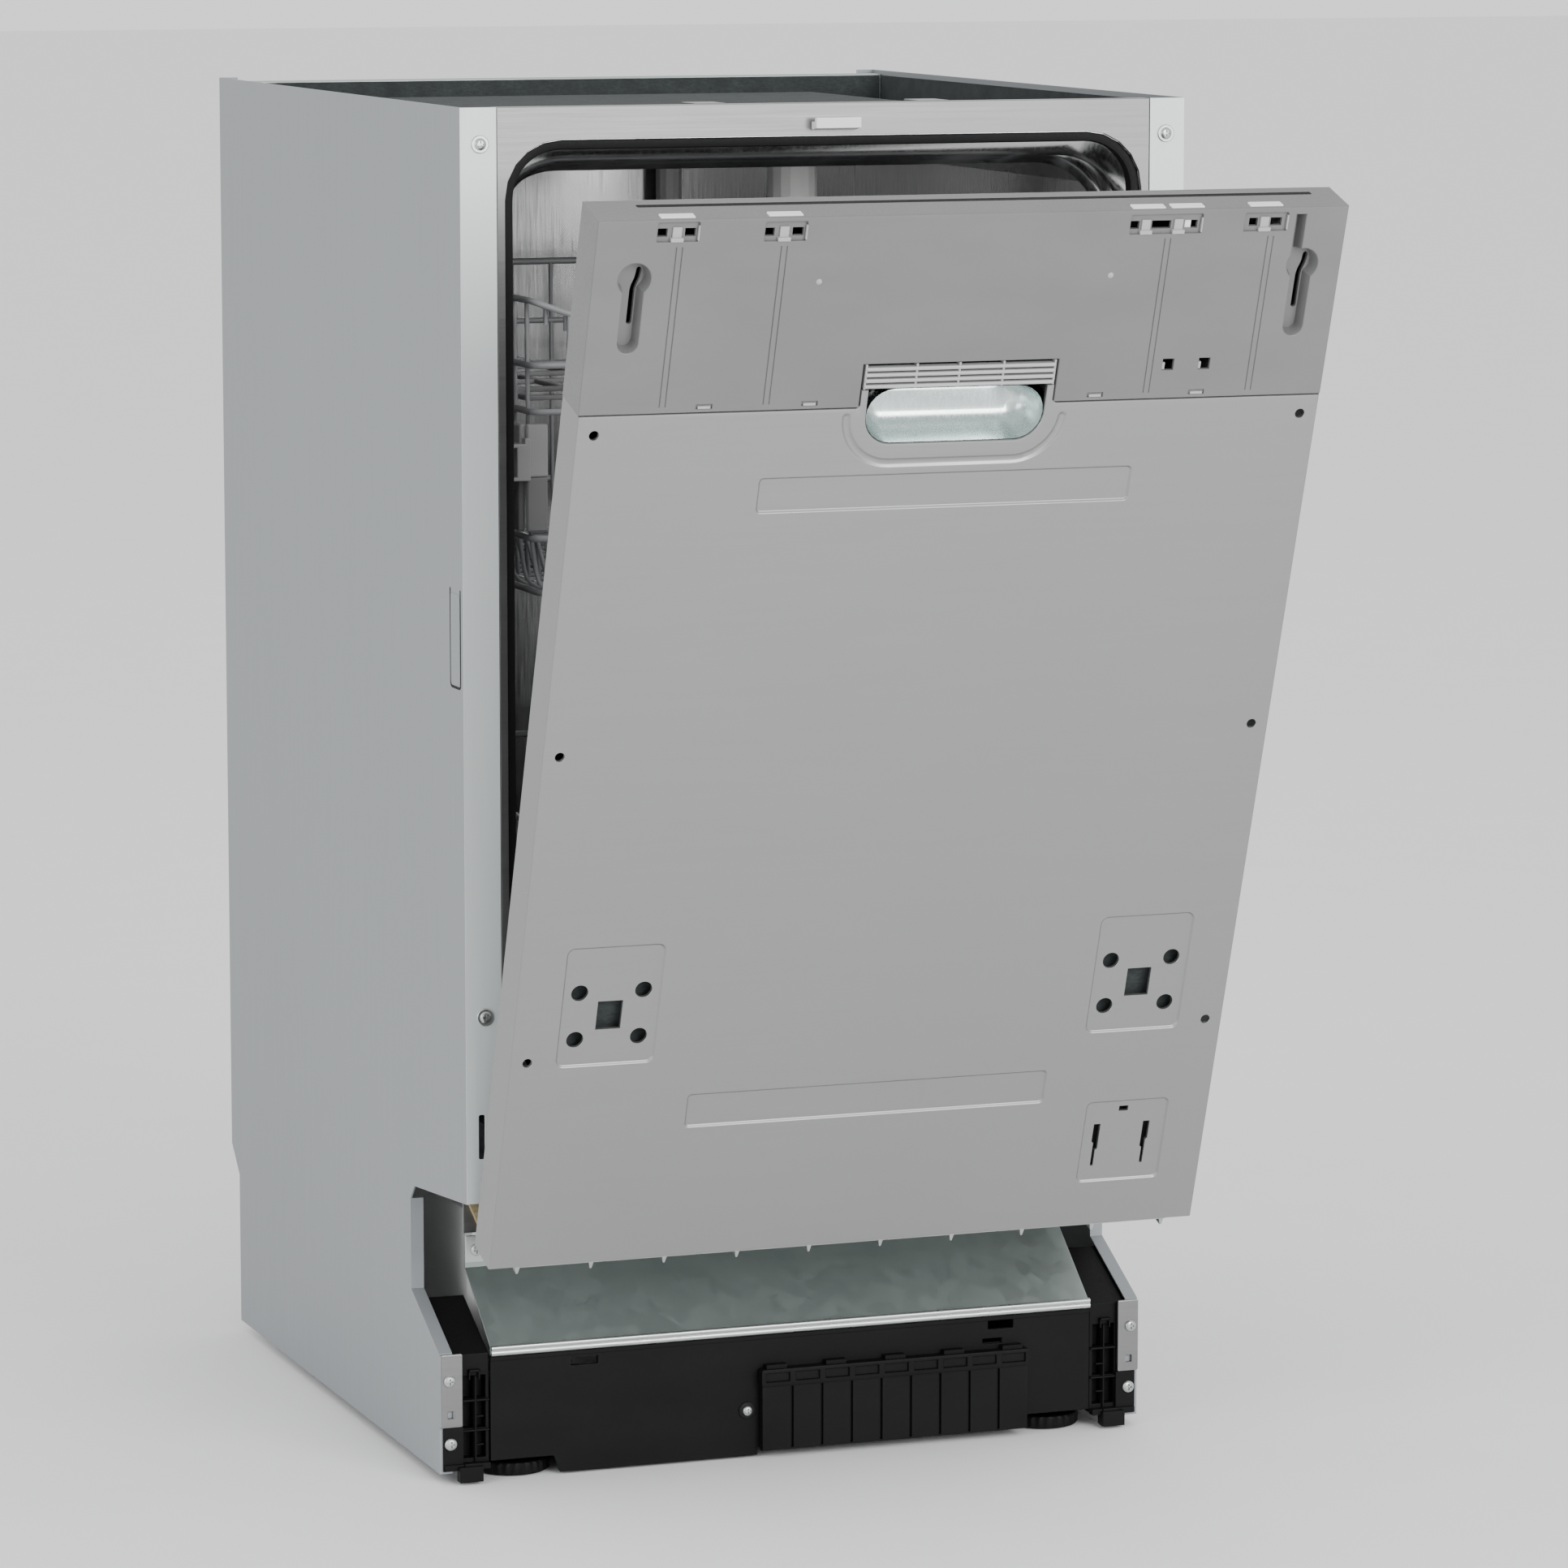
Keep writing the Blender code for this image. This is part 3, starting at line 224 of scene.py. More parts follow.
def loft(rings, closed=False, caps=True):
    """A skin over rings of (x, y, z) points; closed joins the last ring to the first."""
    shape = bmesh.new()
    made = [[shape.verts.new(point) for point in ring] for ring in rings]
    pairs = list(zip(made, made[1:]))
    if closed:
        pairs.append((made[-1], made[0]))
    for near, far in pairs:
        bridge(shape, near, far)
    if caps and not closed:
        shape.faces.new(made[0])
        shape.faces.new(made[-1])
    bmesh.ops.recalc_face_normals(shape, faces=shape.faces[:])
    return shape


def sweep(profile, lines):
    """A closed profile swept along an open line: lines(offset, across) gives the line's points."""
    rows = [lines(*point) for point in profile]
    rings = [[row[i] for row in rows] for i in range(len(rows[0]))]
    return loft(rings)


AXES = {
    "X": lambda u, v, w: (w, u, v),
    "Y": lambda u, v, w: (u, w, v),
    "Z": lambda u, v, w: (u, v, w),
}


def turned(profile, axis, centre, steps=32):
    """A turned solid: profile points (radius, distance along the axis)."""
    place = AXES[axis]
    rings = []
    for radius, along in profile:
        rings.append([place(u, v, along) for u, v in circle(centre, max(radius, 0.01), steps)])
    return loft(rings)


def prism(outline, axis, low, high):
    place = AXES[axis]
    return loft([[place(u, v, w) for u, v in outline] for w in (low, high)])


def block(x0, x1, y0, y1, z0, z1):
    return prism(rectangle(x0, x1, y0, y1), "Z", z0, z1)


def door_block(u0, u1, w0, w1, s0, s1):
    """A block on the door: across, depth behind the door's face, height over the door's bottom edge."""
    return block(u0, u1, DOOR_FRONT + w0, DOOR_FRONT + w1, DOOR_BOTTOM + s0, DOOR_BOTTOM + s1)


def span(side, near, far):
    """Two distances from the middle plane, as ordered x values on one side of it."""
    return sorted((side * near, side * far))


def joined(shapes):
    """Several shapes as one."""
    whole = bmesh.new()
    for shape in shapes:
        mesh = bpy.data.meshes.new("joined")
        shape.to_mesh(mesh)
        shape.free()
        whole.from_mesh(mesh)
        bpy.data.meshes.remove(mesh)
    return whole


def mirrored(shape):
    copy = shape.copy()
    bmesh.ops.scale(copy, vec=(-1.0, 1.0, 1.0), verts=copy.verts[:])
    bmesh.ops.reverse_faces(copy, faces=copy.faces[:])
    return copy


def bent(points, radius, steps=4):
    """A path with its inner corners rounded off."""
    path = [Vector(point) for point in points]
    result = [path[0]]
    for before, corner, after in zip(path, path[1:], path[2:]):
        reach = min(radius, (corner - before).length / 2.1, (after - corner).length / 2.1)
        start = corner + (before - corner).normalized() * reach
        end = corner + (after - corner).normalized() * reach
        for i in range(steps + 1):
            t = i / steps
            result.append(start * (1 - t) ** 2 + corner * 2 * t * (1 - t) + end * t * t)
    return result + [path[-1]]


def soft_band(path, radius, half):
    """The outline of a strip along a flat path with its corners rounded off."""
    return band([tuple(point)[:2] for point in bent([(u, v, 0.0) for u, v in path], radius)], half)


# -------- making pieces

def show(name, data, finish, body):
    """Puts a mesh or curve into the scene with its finish and body."""
    material, slot = FINISHES[finish]
    item = bpy.data.objects.new(name, data)
    SCENE.collection.objects.link(item)
    item.data.materials.append(material)
    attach(item, body)
    return item


def round_edges(item, width, weld=False):
    """Rounds the sharp edges of an object without changing its mesh."""
    if weld:
        item.modifiers.new("weld", "WELD").merge_threshold = 1e-5
    bevel = item.modifiers.new("round", "BEVEL")
    bevel.width = width * MM
    bevel.segments = 2
    bevel.limit_method = "ANGLE"
    bevel.angle_limit = math.radians(40.0)
    bevel.harden_normals = False
    item.modifiers.new("shade", "WEIGHTED_NORMAL").keep_sharp = True


def piece(name, shape, finish, body, place=CABINET, edge=0.0, angle=35.0, outward=None):
    """Makes the object of a drawing. outward turns an open sheet's faces towards a direction."""
    if outward:
        bmesh.ops.recalc_face_normals(shape, faces=shape.faces[:])
        lean = sum((face.normal * face.calc_area() for face in shape.faces), Vector())
        if lean.dot(Vector(outward)) < 0.0:
            bmesh.ops.reverse_faces(shape, faces=shape.faces[:])
    shape.transform(place @ Matrix.Scale(MM, 4))
    mesh = bpy.data.meshes.new(name)
    shape.to_mesh(mesh)
    shape.free()
    mesh.shade_smooth()
    mesh.set_sharp_from_angle(angle=math.radians(angle))
    item = show(name, mesh, finish, body)
    if edge:
        round_edges(item, edge)
    else:
        item.modifiers.new("shade", "WEIGHTED_NORMAL").keep_sharp = True
    return item


def wires(name, paths, radius, body):
    """Round coated wires along paths, as one curve."""
    curve = bpy.data.curves.new(name, "CURVE")
    curve.dimensions = "3D"
    curve.bevel_depth = radius * MM
    curve.bevel_resolution = 1
    curve.use_fill_caps = True
    for path in paths:
        spline = curve.splines.new("POLY")
        spline.points.add(len(path) - 1)
        for point, place_of in zip(spline.points, path):
            point.co = (*(CABINET @ (Vector(place_of) * MM)), 1.0)
    return show(name, curve, "wire", body)


# -------- materials

class Nodes:
    """A material's node tree, with short calls for the nodes used here."""

    def __init__(self, name, roughness, metallic):
        self.material = bpy.data.materials.new(name)
        self.material.use_nodes = True
        self.tree = self.material.node_tree
        self.shader = self.tree.nodes["Principled BSDF"]
        self.shader.inputs["Roughness"].default_value = roughness
        self.shader.inputs["Metallic"].default_value = metallic
        self.place = self.tree.nodes.new("ShaderNodeTexCoord").outputs["Object"]

    def link(self, output, target):
        self.tree.links.new(output, target)

    def node(self, kind, **values):
        """A new node; in the names of its input values an underscore stands for a space."""
        made = self.tree.nodes.new("ShaderNode" + kind)
        for name, value in values.items():
            made.inputs[name.replace("_", " ")].default_value = value
        return made

    def mapped(self, scale):
        mapping = self.node("Mapping", Scale=scale)
        self.link(self.place, mapping.inputs["Vector"])
        return mapping.outputs["Vector"]

    def noise(self, scale, detail=3.0, roughness=0.55):
        node = self.node("TexNoise", Scale=1.0, Detail=detail, Roughness=roughness)
        self.link(self.mapped(scale), node.inputs["Vector"])
        return node.outputs["Fac"]

    def cells(self, scale):
        node = self.node("TexVoronoi", Scale=1.0)
        self.link(self.mapped(scale), node.inputs["Vector"])
        split = self.node("SeparateColor")
        self.link(node.outputs["Color"], split.inputs["Color"])
        return split.outputs["Red"]

    def ranged(self, value, low, high, start=0.3, end=0.7):
        node = self.node("MapRange", From_Min=start, From_Max=end, To_Min=low, To_Max=high)
        self.link(value, node.inputs["Value"])
        return node.outputs["Result"]

    def blended(self, factor, first, second):
        node = self.node("Mix")
        node.data_type = "RGBA"
        self.link(factor, node.inputs["Factor"])
        for socket, colour in ((node.inputs["A"], first), (node.inputs["B"], second)):
            if isinstance(colour, tuple):
                socket.default_value = (*colour, 1.0)
            else:
                self.link(colour, socket)
        return node.outputs["Result"]

    def toned(self, factor, colour, low, high):
        return self.blended(factor, shade(colour, low), shade(colour, high))

    def colour(self, output):
        self.link(output, self.shader.inputs["Base Color"])

    def roughness(self, output):
        self.link(output, self.shader.inputs["Roughness"])

    def bump(self, height, strength, distance):
        node = self.node("Bump", Strength=strength, Distance=distance * MM)
        self.link(height, node.inputs["Height"])
        self.link(node.outputs["Normal"], self.shader.inputs["Normal"])


def shade(colour, factor):
    return tuple(channel * factor for channel in colour)


def brushed(name, colour, along, roughness, metallic, contrast):
    """Rolled or brushed sheet: fine streaks along one axis over slow, cloudy changes of tone."""
    nodes = Nodes(name, roughness, metallic)
    fine = {"X": (14.0, 900.0, 900.0), "Z": (900.0, 900.0, 14.0)}[along]
    streaks = nodes.noise(fine, 4.0, 0.65)
    cloud = nodes.noise((2.6, 2.6, 2.0), 2.0)
    base = nodes.toned(nodes.ranged(streaks, 0.0, 1.0), colour, 1 - contrast, 1 + contrast)
    nodes.colour(nodes.blended(nodes.ranged(cloud, 0.0, 0.55), base, shade(colour, 0.94)))
    nodes.roughness(nodes.ranged(streaks, roughness - 0.05, roughness + 0.07))
    nodes.bump(streaks, 0.05, 0.08)
    return nodes.material


def galvanised(name, colour, roughness):
    """Zinc-coated sheet with its crystal pattern."""
    nodes = Nodes(name, roughness, 0.9)
    crystals = nodes.cells((110.0, 110.0, 110.0))
    cloud = nodes.noise((9.0, 9.0, 9.0), 3.0)
    base = nodes.toned(nodes.ranged(crystals, 0.0, 1.0, 0.0, 1.0), colour, 0.95, 1.04)
    nodes.colour(nodes.blended(nodes.ranged(cloud, 0.0, 0.4), base, shade(colour, 0.9)))
    nodes.roughness(nodes.ranged(crystals, roughness - 0.06, roughness + 0.08, 0.0, 1.0))
    nodes.bump(cloud, 0.04, 0.2)
    return nodes.material


def polished(name, colour, roughness):
    """Bright stainless sheet, slightly wavy from deep drawing."""
    nodes = Nodes(name, roughness, 1.0)
    waves = nodes.noise((16.0, 16.0, 11.0), 2.0)
    fine = nodes.noise((700.0, 700.0, 30.0), 3.0)
    nodes.colour(nodes.toned(nodes.ranged(fine, 0.0, 1.0), colour, 0.93, 1.05))
    nodes.roughness(nodes.ranged(fine, roughness - 0.03, roughness + 0.08))
    nodes.bump(waves, 0.12, 1.2)
    return nodes.material


def moulded(name, colour, roughness, grain=900.0, bump=0.06, contrast=0.05, specular=0.5):
    """Injection-moulded plastic with a fine spark-eroded grain and faint flow marks."""
    nodes = Nodes(name, roughness, 0.0)
    nodes.shader.inputs["Specular IOR Level"].default_value = specular
    fine = nodes.noise((grain, grain, grain), 3.0)
    flow = nodes.noise((12.0, 12.0, 30.0), 3.0)
    nodes.colour(nodes.toned(nodes.ranged(flow, 0.0, 1.0), colour, 1 - contrast, 1 + contrast))
    nodes.roughness(nodes.ranged(fine, roughness - 0.06, roughness + 0.08))
    nodes.bump(fine, bump, 0.1)
    return nodes.material


def fibrous(name, colour, other):
    """Pressed felt: matted fibres of two tones."""
    nodes = Nodes(name, 0.95, 0.0)
    fibres = nodes.noise((260.0, 1500.0, 600.0), 5.0, 0.7)
    clumps = nodes.noise((80.0, 80.0, 80.0), 3.0)
    base = nodes.blended(nodes.ranged(fibres, 0.0, 1.0), colour, other)
    nodes.colour(nodes.blended(nodes.ranged(clumps, 0.0, 0.6), base, shade(colour, 0.7)))
    nodes.roughness(nodes.ranged(fibres, 0.85, 1.0))
    nodes.bump(fibres, 0.6, 0.5)
    return nodes.material


def make_finishes():
    """Every finish used here: its material, and the record's slot that it stands for."""
    rows = {
        # finish: slot, maker, and the maker's values
        "side_sheet": ("coated_steel", brushed, (0.27, 0.288, 0.30), "Z", 0.5, 0.35, 0.02),
        # painted highlight: the flanges' sheet is the side panels' coated steel made lighter to stand in for
        # the light from the front
        "flange_sheet": ("coated_steel", brushed, (0.70, 0.745, 0.74), "Z", 0.5, 0.2, 0.02),
        "frame_sheet": ("brushed_steel", brushed, (0.21, 0.21, 0.21), "X", 0.36, 0.9, 0.05),
        "door_sheet": ("brushed_steel", brushed, (0.30, 0.30, 0.30), "X", 0.4, 0.85, 0.03),
        "tub_sheet": ("tub_steel", polished, (0.46, 0.46, 0.46), 0.16),
        "pocket": ("tub_steel", polished, (0.60, 0.67, 0.66), 0.24),
        "zinc": ("zinc_steel", galvanised, (0.35, 0.40, 0.385), 0.46),
        "bright_zinc": ("zinc_steel", galvanised, (0.46, 0.48, 0.47), 0.32),
        "console": ("console_plastic", moulded, (0.145, 0.145, 0.145), 0.42),
        "console_light": ("console_plastic", moulded, (0.36, 0.36, 0.36), 0.42),
        "white": ("white_plastic", moulded, (0.80, 0.80, 0.79), 0.38),
        "black": ("black_plastic", moulded, (0.005, 0.005, 0.005), 0.5, 700.0, 0.1, 0.2, 0.12),
        "grey": ("grey_plastic", moulded, (0.27, 0.27, 0.275), 0.45),
        "light_grey": ("grey_plastic", moulded, (0.46, 0.46, 0.46), 0.35),
        "rubber": ("rubber", moulded, (0.006, 0.006, 0.006), 0.62, 500.0, 0.12, 0.1, 0.2),
        "felt": ("felt", fibrous, (0.30, 0.24, 0.12), (0.52, 0.44, 0.25)),
        "grey_felt": ("felt", fibrous, (0.07, 0.10, 0.10), (0.20, 0.25, 0.24)),
        "dark_felt": ("felt", fibrous, (0.018, 0.022, 0.022), (0.05, 0.06, 0.06)),
        "wire": ("rack_wire", moulded, (0.36, 0.37, 0.38), 0.36, 300.0, 0.05),
        "board": ("board", moulded, (0.03, 0.12, 0.05), 0.5, 200.0, 0.2, 0.3),
    }
    return {name: (maker(name, *values), slot) for name, (slot, maker, *values) in rows.items()}


FINISHES = make_finishes()


# -------- CAD nodes that stay

KEPT = (
    # finish, edge radius in millimetres, nodes
    ("side_sheet", 0.45, "left_side_panel right_side_panel"),
    ("frame_sheet", 0.5, "front_frame"),
    ("tub_sheet", 0.4, "tub door_inner_panel"),
    ("dark_felt", 1.5, "insulation_blanket"),
    ("dark_felt", 0.8, "door_insulation"),
    ("zinc", 0.5, "rear_panel"),
    ("zinc", 0.4, "toe_plate hinge_arm_left hinge_arm_right"),
    ("zinc", 0.8, "counterbalance_left counterbalance_right"),
    ("bright_zinc", 0.4, "hinge_bracket_left hinge_bracket_right"),
    ("bright_zinc", 0.3, "door_bottom_trim"),
    ("black", 0.5, "front_post_left front_post_right"),
    ("black", 0.6, "base_tray"),
    ("black", 0.8, "door_latch"),
    ("black", 1.0, "sump"),
    ("black", 1.5, "drain_outlet cord_inlet"),
    ("grey", 0.8, "filter cup_shelf cutlery_basket"),
    ("grey", 1.2, "dispenser_housing"),
    ("grey", 1.5, "circulation_pump drain_pump"),
    ("light_grey", 0.8, "dispenser_lid rinse_cap"),
    ("white", 0.5, "button_power button_program button_delay button_half_load button_start"),
    ("white", 0.6, "latch_strike"),
    ("white", 0.8, "latch_hook salt_cap"),
    ("white", 1.0, "spray_feed_pipe"),
    ("white", 1.5, "inlet_valve"),
    ("white", 3.0, "softener air_break"),
    ("board", 0.2, "control_board"),
)


def dress_kept_nodes():
    for finish, edge, names in KEPT:
        material = FINISHES[finish][0]
        for name in names.split():
            node = frame["nodes"][name]
            if not node.data.materials:
                node.data.materials.append(material)
            for slot in node.material_slots:
                slot.material = material
            round_edges(node, edge, weld=True)


# -------- door

def on_door(u, v, w):
    return (u, DOOR_FRONT + w, v)


def from_bottom(u0, u1, s0, s1):
    """A rectangle on the door, with its heights counted from the door's bottom edge."""
    return rectangle(u0, u1, DOOR_BOTTOM + s0, DOOR_BOTTOM + s1)


def field(u0, u1, s0, s1, radius, steps=4):
    return rounded(u0, u1, DOOR_BOTTOM + s0, DOOR_BOTTOM + s1, radius, steps)


def skin_outline():
    """The steel panel's face, with the notch and ears that frame the finger pocket."""
    left, right = -DOOR_HALF, DOOR_HALF
    tab = POCKET_HALF + 4.5
    middle = POCKET_LOW + POCKET_RADIUS
    reach = POCKET_HALF - POCKET_RADIUS
    points = [(left, DOOR_BOTTOM), (right, DOOR_BOTTOM), (right, SEAM), (right - 2.5, SEAM)]
    points += [(tab + 2.0, SEAM), (tab, SEAM + 1.5), (tab, POCKET_TOP), (POCKET_HALF, POCKET_TOP)]
    points += arc((reach, middle), POCKET_RADIUS, 0, -90, 12)
    points += arc((-reach, middle), POCKET_RADIUS, -90, -180, 12)
    points += [(-POCKET_HALF, POCKET_TOP), (-tab, POCKET_TOP), (-tab, SEAM + 1.5), (-tab - 2.0, SEAM)]
    return points + [(left + 2.5, SEAM), (left, SEAM)]


def stepped_slot(x, side):
    """One of the two stepped openings of the slotted plate."""
    base = DOOR_BOTTOM
    points = [(x - 1.0, base + 39.5), (x + 1.0, base + 39.5), (x + 1.0, base + 50.0)]
    points += [(x + 2.2, base + 51.0), (x + 2.2, base + 68.0), (x - 2.2, base + 68.0)]
    points += [(x - 2.2, base + 56.0), (x - 1.0, base + 55.0)]
    if side < 0:
        points = [(2.0 * x - u, v) for u, v in reversed(points)]
    return points


def plate_press(face, x):
    """One of the two pressed plates for the furniture door's hinges."""
    places = [(x + across, DOOR_BOTTOM + s) for across in (-19.2, 19.2) for s in (148.0, 178.0)]
    holes = [circle(place, 5.2, 20) for place in places]
    holes.append(from_bottom(x - 7.6, x + 7.6, 153.5, 172.0))
    return face.press(field(x - 30.0, x + 30.0, 130.5, 208.0, 5.0), pressed(1.3), holes)


def pocket_groove(face):
    """The smile-shaped groove round the finger pocket."""
    centre = DOOR_BOTTOM + 530.5
    path = arc((-36.5, centre), 28.0, 180, 270, 12) + arc((36.5, centre), 28.0, 270, 354, 12)
    return face.press(band(path, 3.0), [(0.0, 0.0), (0.5, 0.15), (1.2, 0.7), (2.0, 1.15)])


def skin_pressings(face):
    """Presses the fields, plates and holes of the door's face; returns their rims."""
    rims = [face.press(field(-111.8, 111.8, 474.0, 496.0, 3.0), pressed(1.3))]
    rims.append(face.press(field(-111.0, 113.5, 85.5, 108.0, 3.0), pressed(1.3)))
    rims += [plate_press(face, x) for x in (-163.8, 163.3)]
    holes = [from_bottom(163.5, 169.5, 75.8, 79.4), stepped_slot(151.0, 1), stepped_slot(182.6, -1)]
    rims.append(face.press(field(141.5, 195.0, 29.0, 84.0, 4.0), pressed(1.2), holes))
    rims.append(pocket_groove(face))
    for x in (-210.5, 210.0):
        rims += [face.punch(circle((x, DOOR_BOTTOM + s), 3.0)) for s in (524.5, 329.5, 135.3)]
    return rims


def door_skin():
    """The pressed steel panel of the door with its flanges."""
    face = Face(on_door)
    outline = skin_outline()
    rim, edge = face.stair(outline, [(1.3, 0.0), (0.45, 0.16), (0.1, 0.55), (0.0, 1.3)])
    deep = []
    for u, v in outline:
        depth = DOOR_BACK - 1.6 - DOOR_FRONT if abs(u) > DOOR_HALF - 0.1 else 3.0
        deep.append(face.shape.verts.new(on_door(u, v, depth)))
    face.bridge(edge, deep)
    face.fill(rim, *skin_pressings(face))
    skin = piece("door_skin", face.shape, "door_sheet", "door", DOOR, outward=(0.0, -1.0, 0.0))
    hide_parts("door_outer_panel")


def finger_pocket():
    """The glossy pocket: a deep capsule bowl behind the panel's cut-out."""
    face = Face(on_door)
    outline = capsule(0.3 - POCKET_HALF, POCKET_HALF - 0.3, POCKET_LOW + 0.3, POCKET_TOP - 0.3)
    steps = [(0.0, 1.4), (0.15, 3.0), (0.6, 7.0), (1.5, 11.5), (3.0, 16.0)]
    last = face.stair(outline, steps + [(5.2, 19.6), (8.0, 22.0), (11.0, 23.2)])[1]
    face.fill(last)
    bowl = piece("finger_pocket", face.shape, "pocket", "door", DOOR, angle=80.0, outward=(0.0, -1.0, 0.0))
    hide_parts("handle_pocket")


CLIPS = (
    # left, right, low and high of each clip recess, from the door's bottom edge; its windows; its tongues
    (-187.0, -162.3, 636.6, 648.6, ((-186.0, -180.2), (-170.4, -164.0)), (-175.0,)),
    (-125.3, -100.3, 635.8, 647.8, ((-124.4, -118.8), (-108.6, -102.0)), (-113.4,)),
    (89.2, 133.1, 635.2, 647.4, ((90.0, 95.6), (103.0, 114.6), (122.8, 130.6)), (99.3, 118.8)),
    (157.8, 184.9, 635.6, 647.2, ((161.6, 167.0), (174.6, 181.6)), (170.8,)),
)
GROOVES = (
    # x and upper end of each fine groove
    (-174.8, 634.0), (-171.4, 634.0), (-114.6, 633.4), (-111.2, 633.4),
    (111.4, 633.0), (114.8, 633.0), (173.6, 633.2), (177.0, 633.2),
)


def clip_recess(face, clip):
    left, right, low, high, windows = clip[:5]
    holes = [from_bottom(u0, u1, low + 2.8, low + 7.8) for u0, u1 in windows]
    steps = [(0.0, 0.0), (0.25, 0.2), (0.35, 1.8)]
    return face.press(field(left, right, low, high, 1.2, 3), steps, holes)


def keyhole(x, chimney):
    """A round entry over a narrower slot; the right one is also open towards the top edge."""
    low, high = DOOR_BOTTOM + 572.0, DOOR_BOTTOM + 615.5
    points = arc((x, low + 6.5), 6.5, 180, 360, 10)
    if chimney:
        points += arc((x, high), 10.0, -49.5, 97.5, 12)
        points += [(x - 1.3, DOOR_BOTTOM + 646.0), (x - 8.3, DOOR_BOTTOM + 646.0)]
        return points + arc((x, high), 10.0, 146.1, 229.5, 7)
    return points + arc((x, high), 10.0, -49.5, 229.5, 22)


def keyhole_slot(x):
    """The narrow slot in a keyhole's floor, with its bent top."""
    low, high = DOOR_BOTTOM + 588.0, DOOR_BOTTOM + 615.5
    path = [(x + 2.0, low), (x + 2.0, high - 7.5), (x + 4.2, high - 2.0), (x + 4.8, high + 3.0)]
    return soft_band(path, 4.0, 1.6)


def console_front():
    """The control section's front with its recesses, keyholes and grooves, and its sides and underside."""
    face = Face(on_door)
    low, high = SEAM + 0.3, DOOR_TOP
    notch, over = POCKET_HALF + 5.0, DOOR_BOTTOM + 562.0
    outline = [(-CONSOLE_HALF, low), (-notch, low), (-notch, over), (notch, over), (notch, low)]
    outline += [(CONSOLE_HALF, low), (CONSOLE_HALF, high), (-CONSOLE_HALF, high)]
    rim, edge = face.stair(outline, [(1.2, 0.0), (0.4, 0.14), (0.09, 0.5), (0.0, 1.2)])
    deep = face.ring(outline, CONSOLE_REAR - DOOR_FRONT)
    for i in range(len(outline) - 1):           # all sides but the top one, which the lid closes
        face.shape.faces.new((edge[i - 1], edge[i], deep[i], deep[i - 1]))
    rims = [rim] + [clip_recess(face, clip) for clip in CLIPS]
    for x, chimney in KEYHOLES:
        steps = [(0.0, 0.0), (0.4, 0.3), (0.9, 2.2), (1.7, 6.0), (2.2, 8.0)]
        rims.append(face.press(keyhole(x, chimney), steps, [keyhole_slot(x)]))
    for x, s in GROOVES:
        rims.append(face.press(from_bottom(x - 0.42, x + 0.42, 540.0, s), [(0.0, 0.0), (0.36, 0.55)]))
    rims += [face.punch(from_bottom(x - 3.6, x + 3.6, 553.3, 560.5)) for x in SQUARE_HOLE_X]
    for x in SEAM_HOOK_X:
        steps = [(0.0, 0.0), (0.2, 0.2), (0.3, 1.1)]
        rims.append(face.press(from_bottom(x - 5.0, x + 5.0, 538.2, 541.4), steps))
    face.fill(*rims)
    return face.shape


def console_lid():
    """The control section's top edge with the button openings and the long slot."""
    lid = Face(lambda u, v, w: (u, v, DOOR_TOP - w))
    rim = lid.ring(rectangle(-CONSOLE_HALF, CONSOLE_HALF, DOOR_FRONT + 1.2, CONSOLE_REAR), 0.0)
    openings = [lid.punch(rectangle(x - 10.3, x + 10.3, -31.1, -25.1)) for x in BUTTON_X]
    slot = lid.punch(rounded(-193.0, 206.0, -14.6, -10.2, 1.2, 3), through=6.0)
    lid.fill(rim, slot, *openings)
    return lid.shape


def console_shell():
    shape = joined([console_front(), console_lid()])
    bmesh.ops.remove_doubles(shape, verts=shape.verts[:], dist=1e-4)
    shell = piece("console_shell", shape, "console", "door", DOOR, outward=(0.0, -1.0, 0.5))
    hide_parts("console_fascia")


def console_tongues():
    """The tongues of the button clips, the seam hooks and the pins in the square holes."""
    tongues = []
    for clip in CLIPS:
        right, low, centres = clip[1], clip[2], clip[5]
        for x in centres:
            tongues.append(door_block(x - 3.6, x + 3.6, -0.5, 2.2, low + 0.3, low + 2.6))
            tongues.append(door_block(x - 2.6, x + 2.6, 0.7, 2.2, low + 2.4, low + 8.6))
        tongues.append(door_block(right - 0.9, right - 0.1, -0.25, 1.6, low + 1.0, low + 9.6))
    tongues += [door_block(x - 3.6, x + 3.6, -0.3, 1.3, 538.6, 540.1) for x in SEAM_HOOK_X]
    tongues += [door_block(x - 3.3, x - 1.6, 0.8, 2.6, 553.6, 557.8) for x in SQUARE_HOLE_X]
    piece("console_tongues", joined(tongues), "console_light", "door", DOOR, edge=0.25)


def console_pips():
    pips = []
    profile = [(0.0, -1.0), (0.9, -0.8), (1.6, -0.1), (2.2, 0.4)]
    for x, s in ((-90.3, 611.9), (81.8, 611.6)):
        outline = [(radius, DOOR_FRONT + depth) for radius, depth in profile]
        pips.append(turned(outline, "Y", (x, DOOR_BOTTOM + s), 16))
    piece("console_pips", joined(pips), "console_light", "door", DOOR)


def vent_grille():
    """The slats over the finger pocket with their dark backing."""
    slats = []
    profile = [(4.0, 1.6), (4.0, 0.4), (-0.2, -0.4), (-0.5, 0.5), (0.1, 1.7)]
    for row in range(4):
        z = DOOR_BOTTOM + 547.9 + 3.45 * row
        slats.append(prism([(DOOR_FRONT + depth, z + rise) for depth, rise in profile], "X", -55.9, 56.2))
    for x in (-55.9, -26.0, -0.7, 25.5, 56.2):
        slats.append(door_block(x - 0.6, x + 0.6, 0.2, 5.0, 546.9, 561.8))
    piece("vent_slats", joined(slats), "console_light", "door", DOOR, edge=0.25)
    back = door_block(-57.8, 57.8, 5.2, 6.2, 546.0, 562.5)
    piece("vent_backing", back, "black", "door", DOOR, edge=0.2)


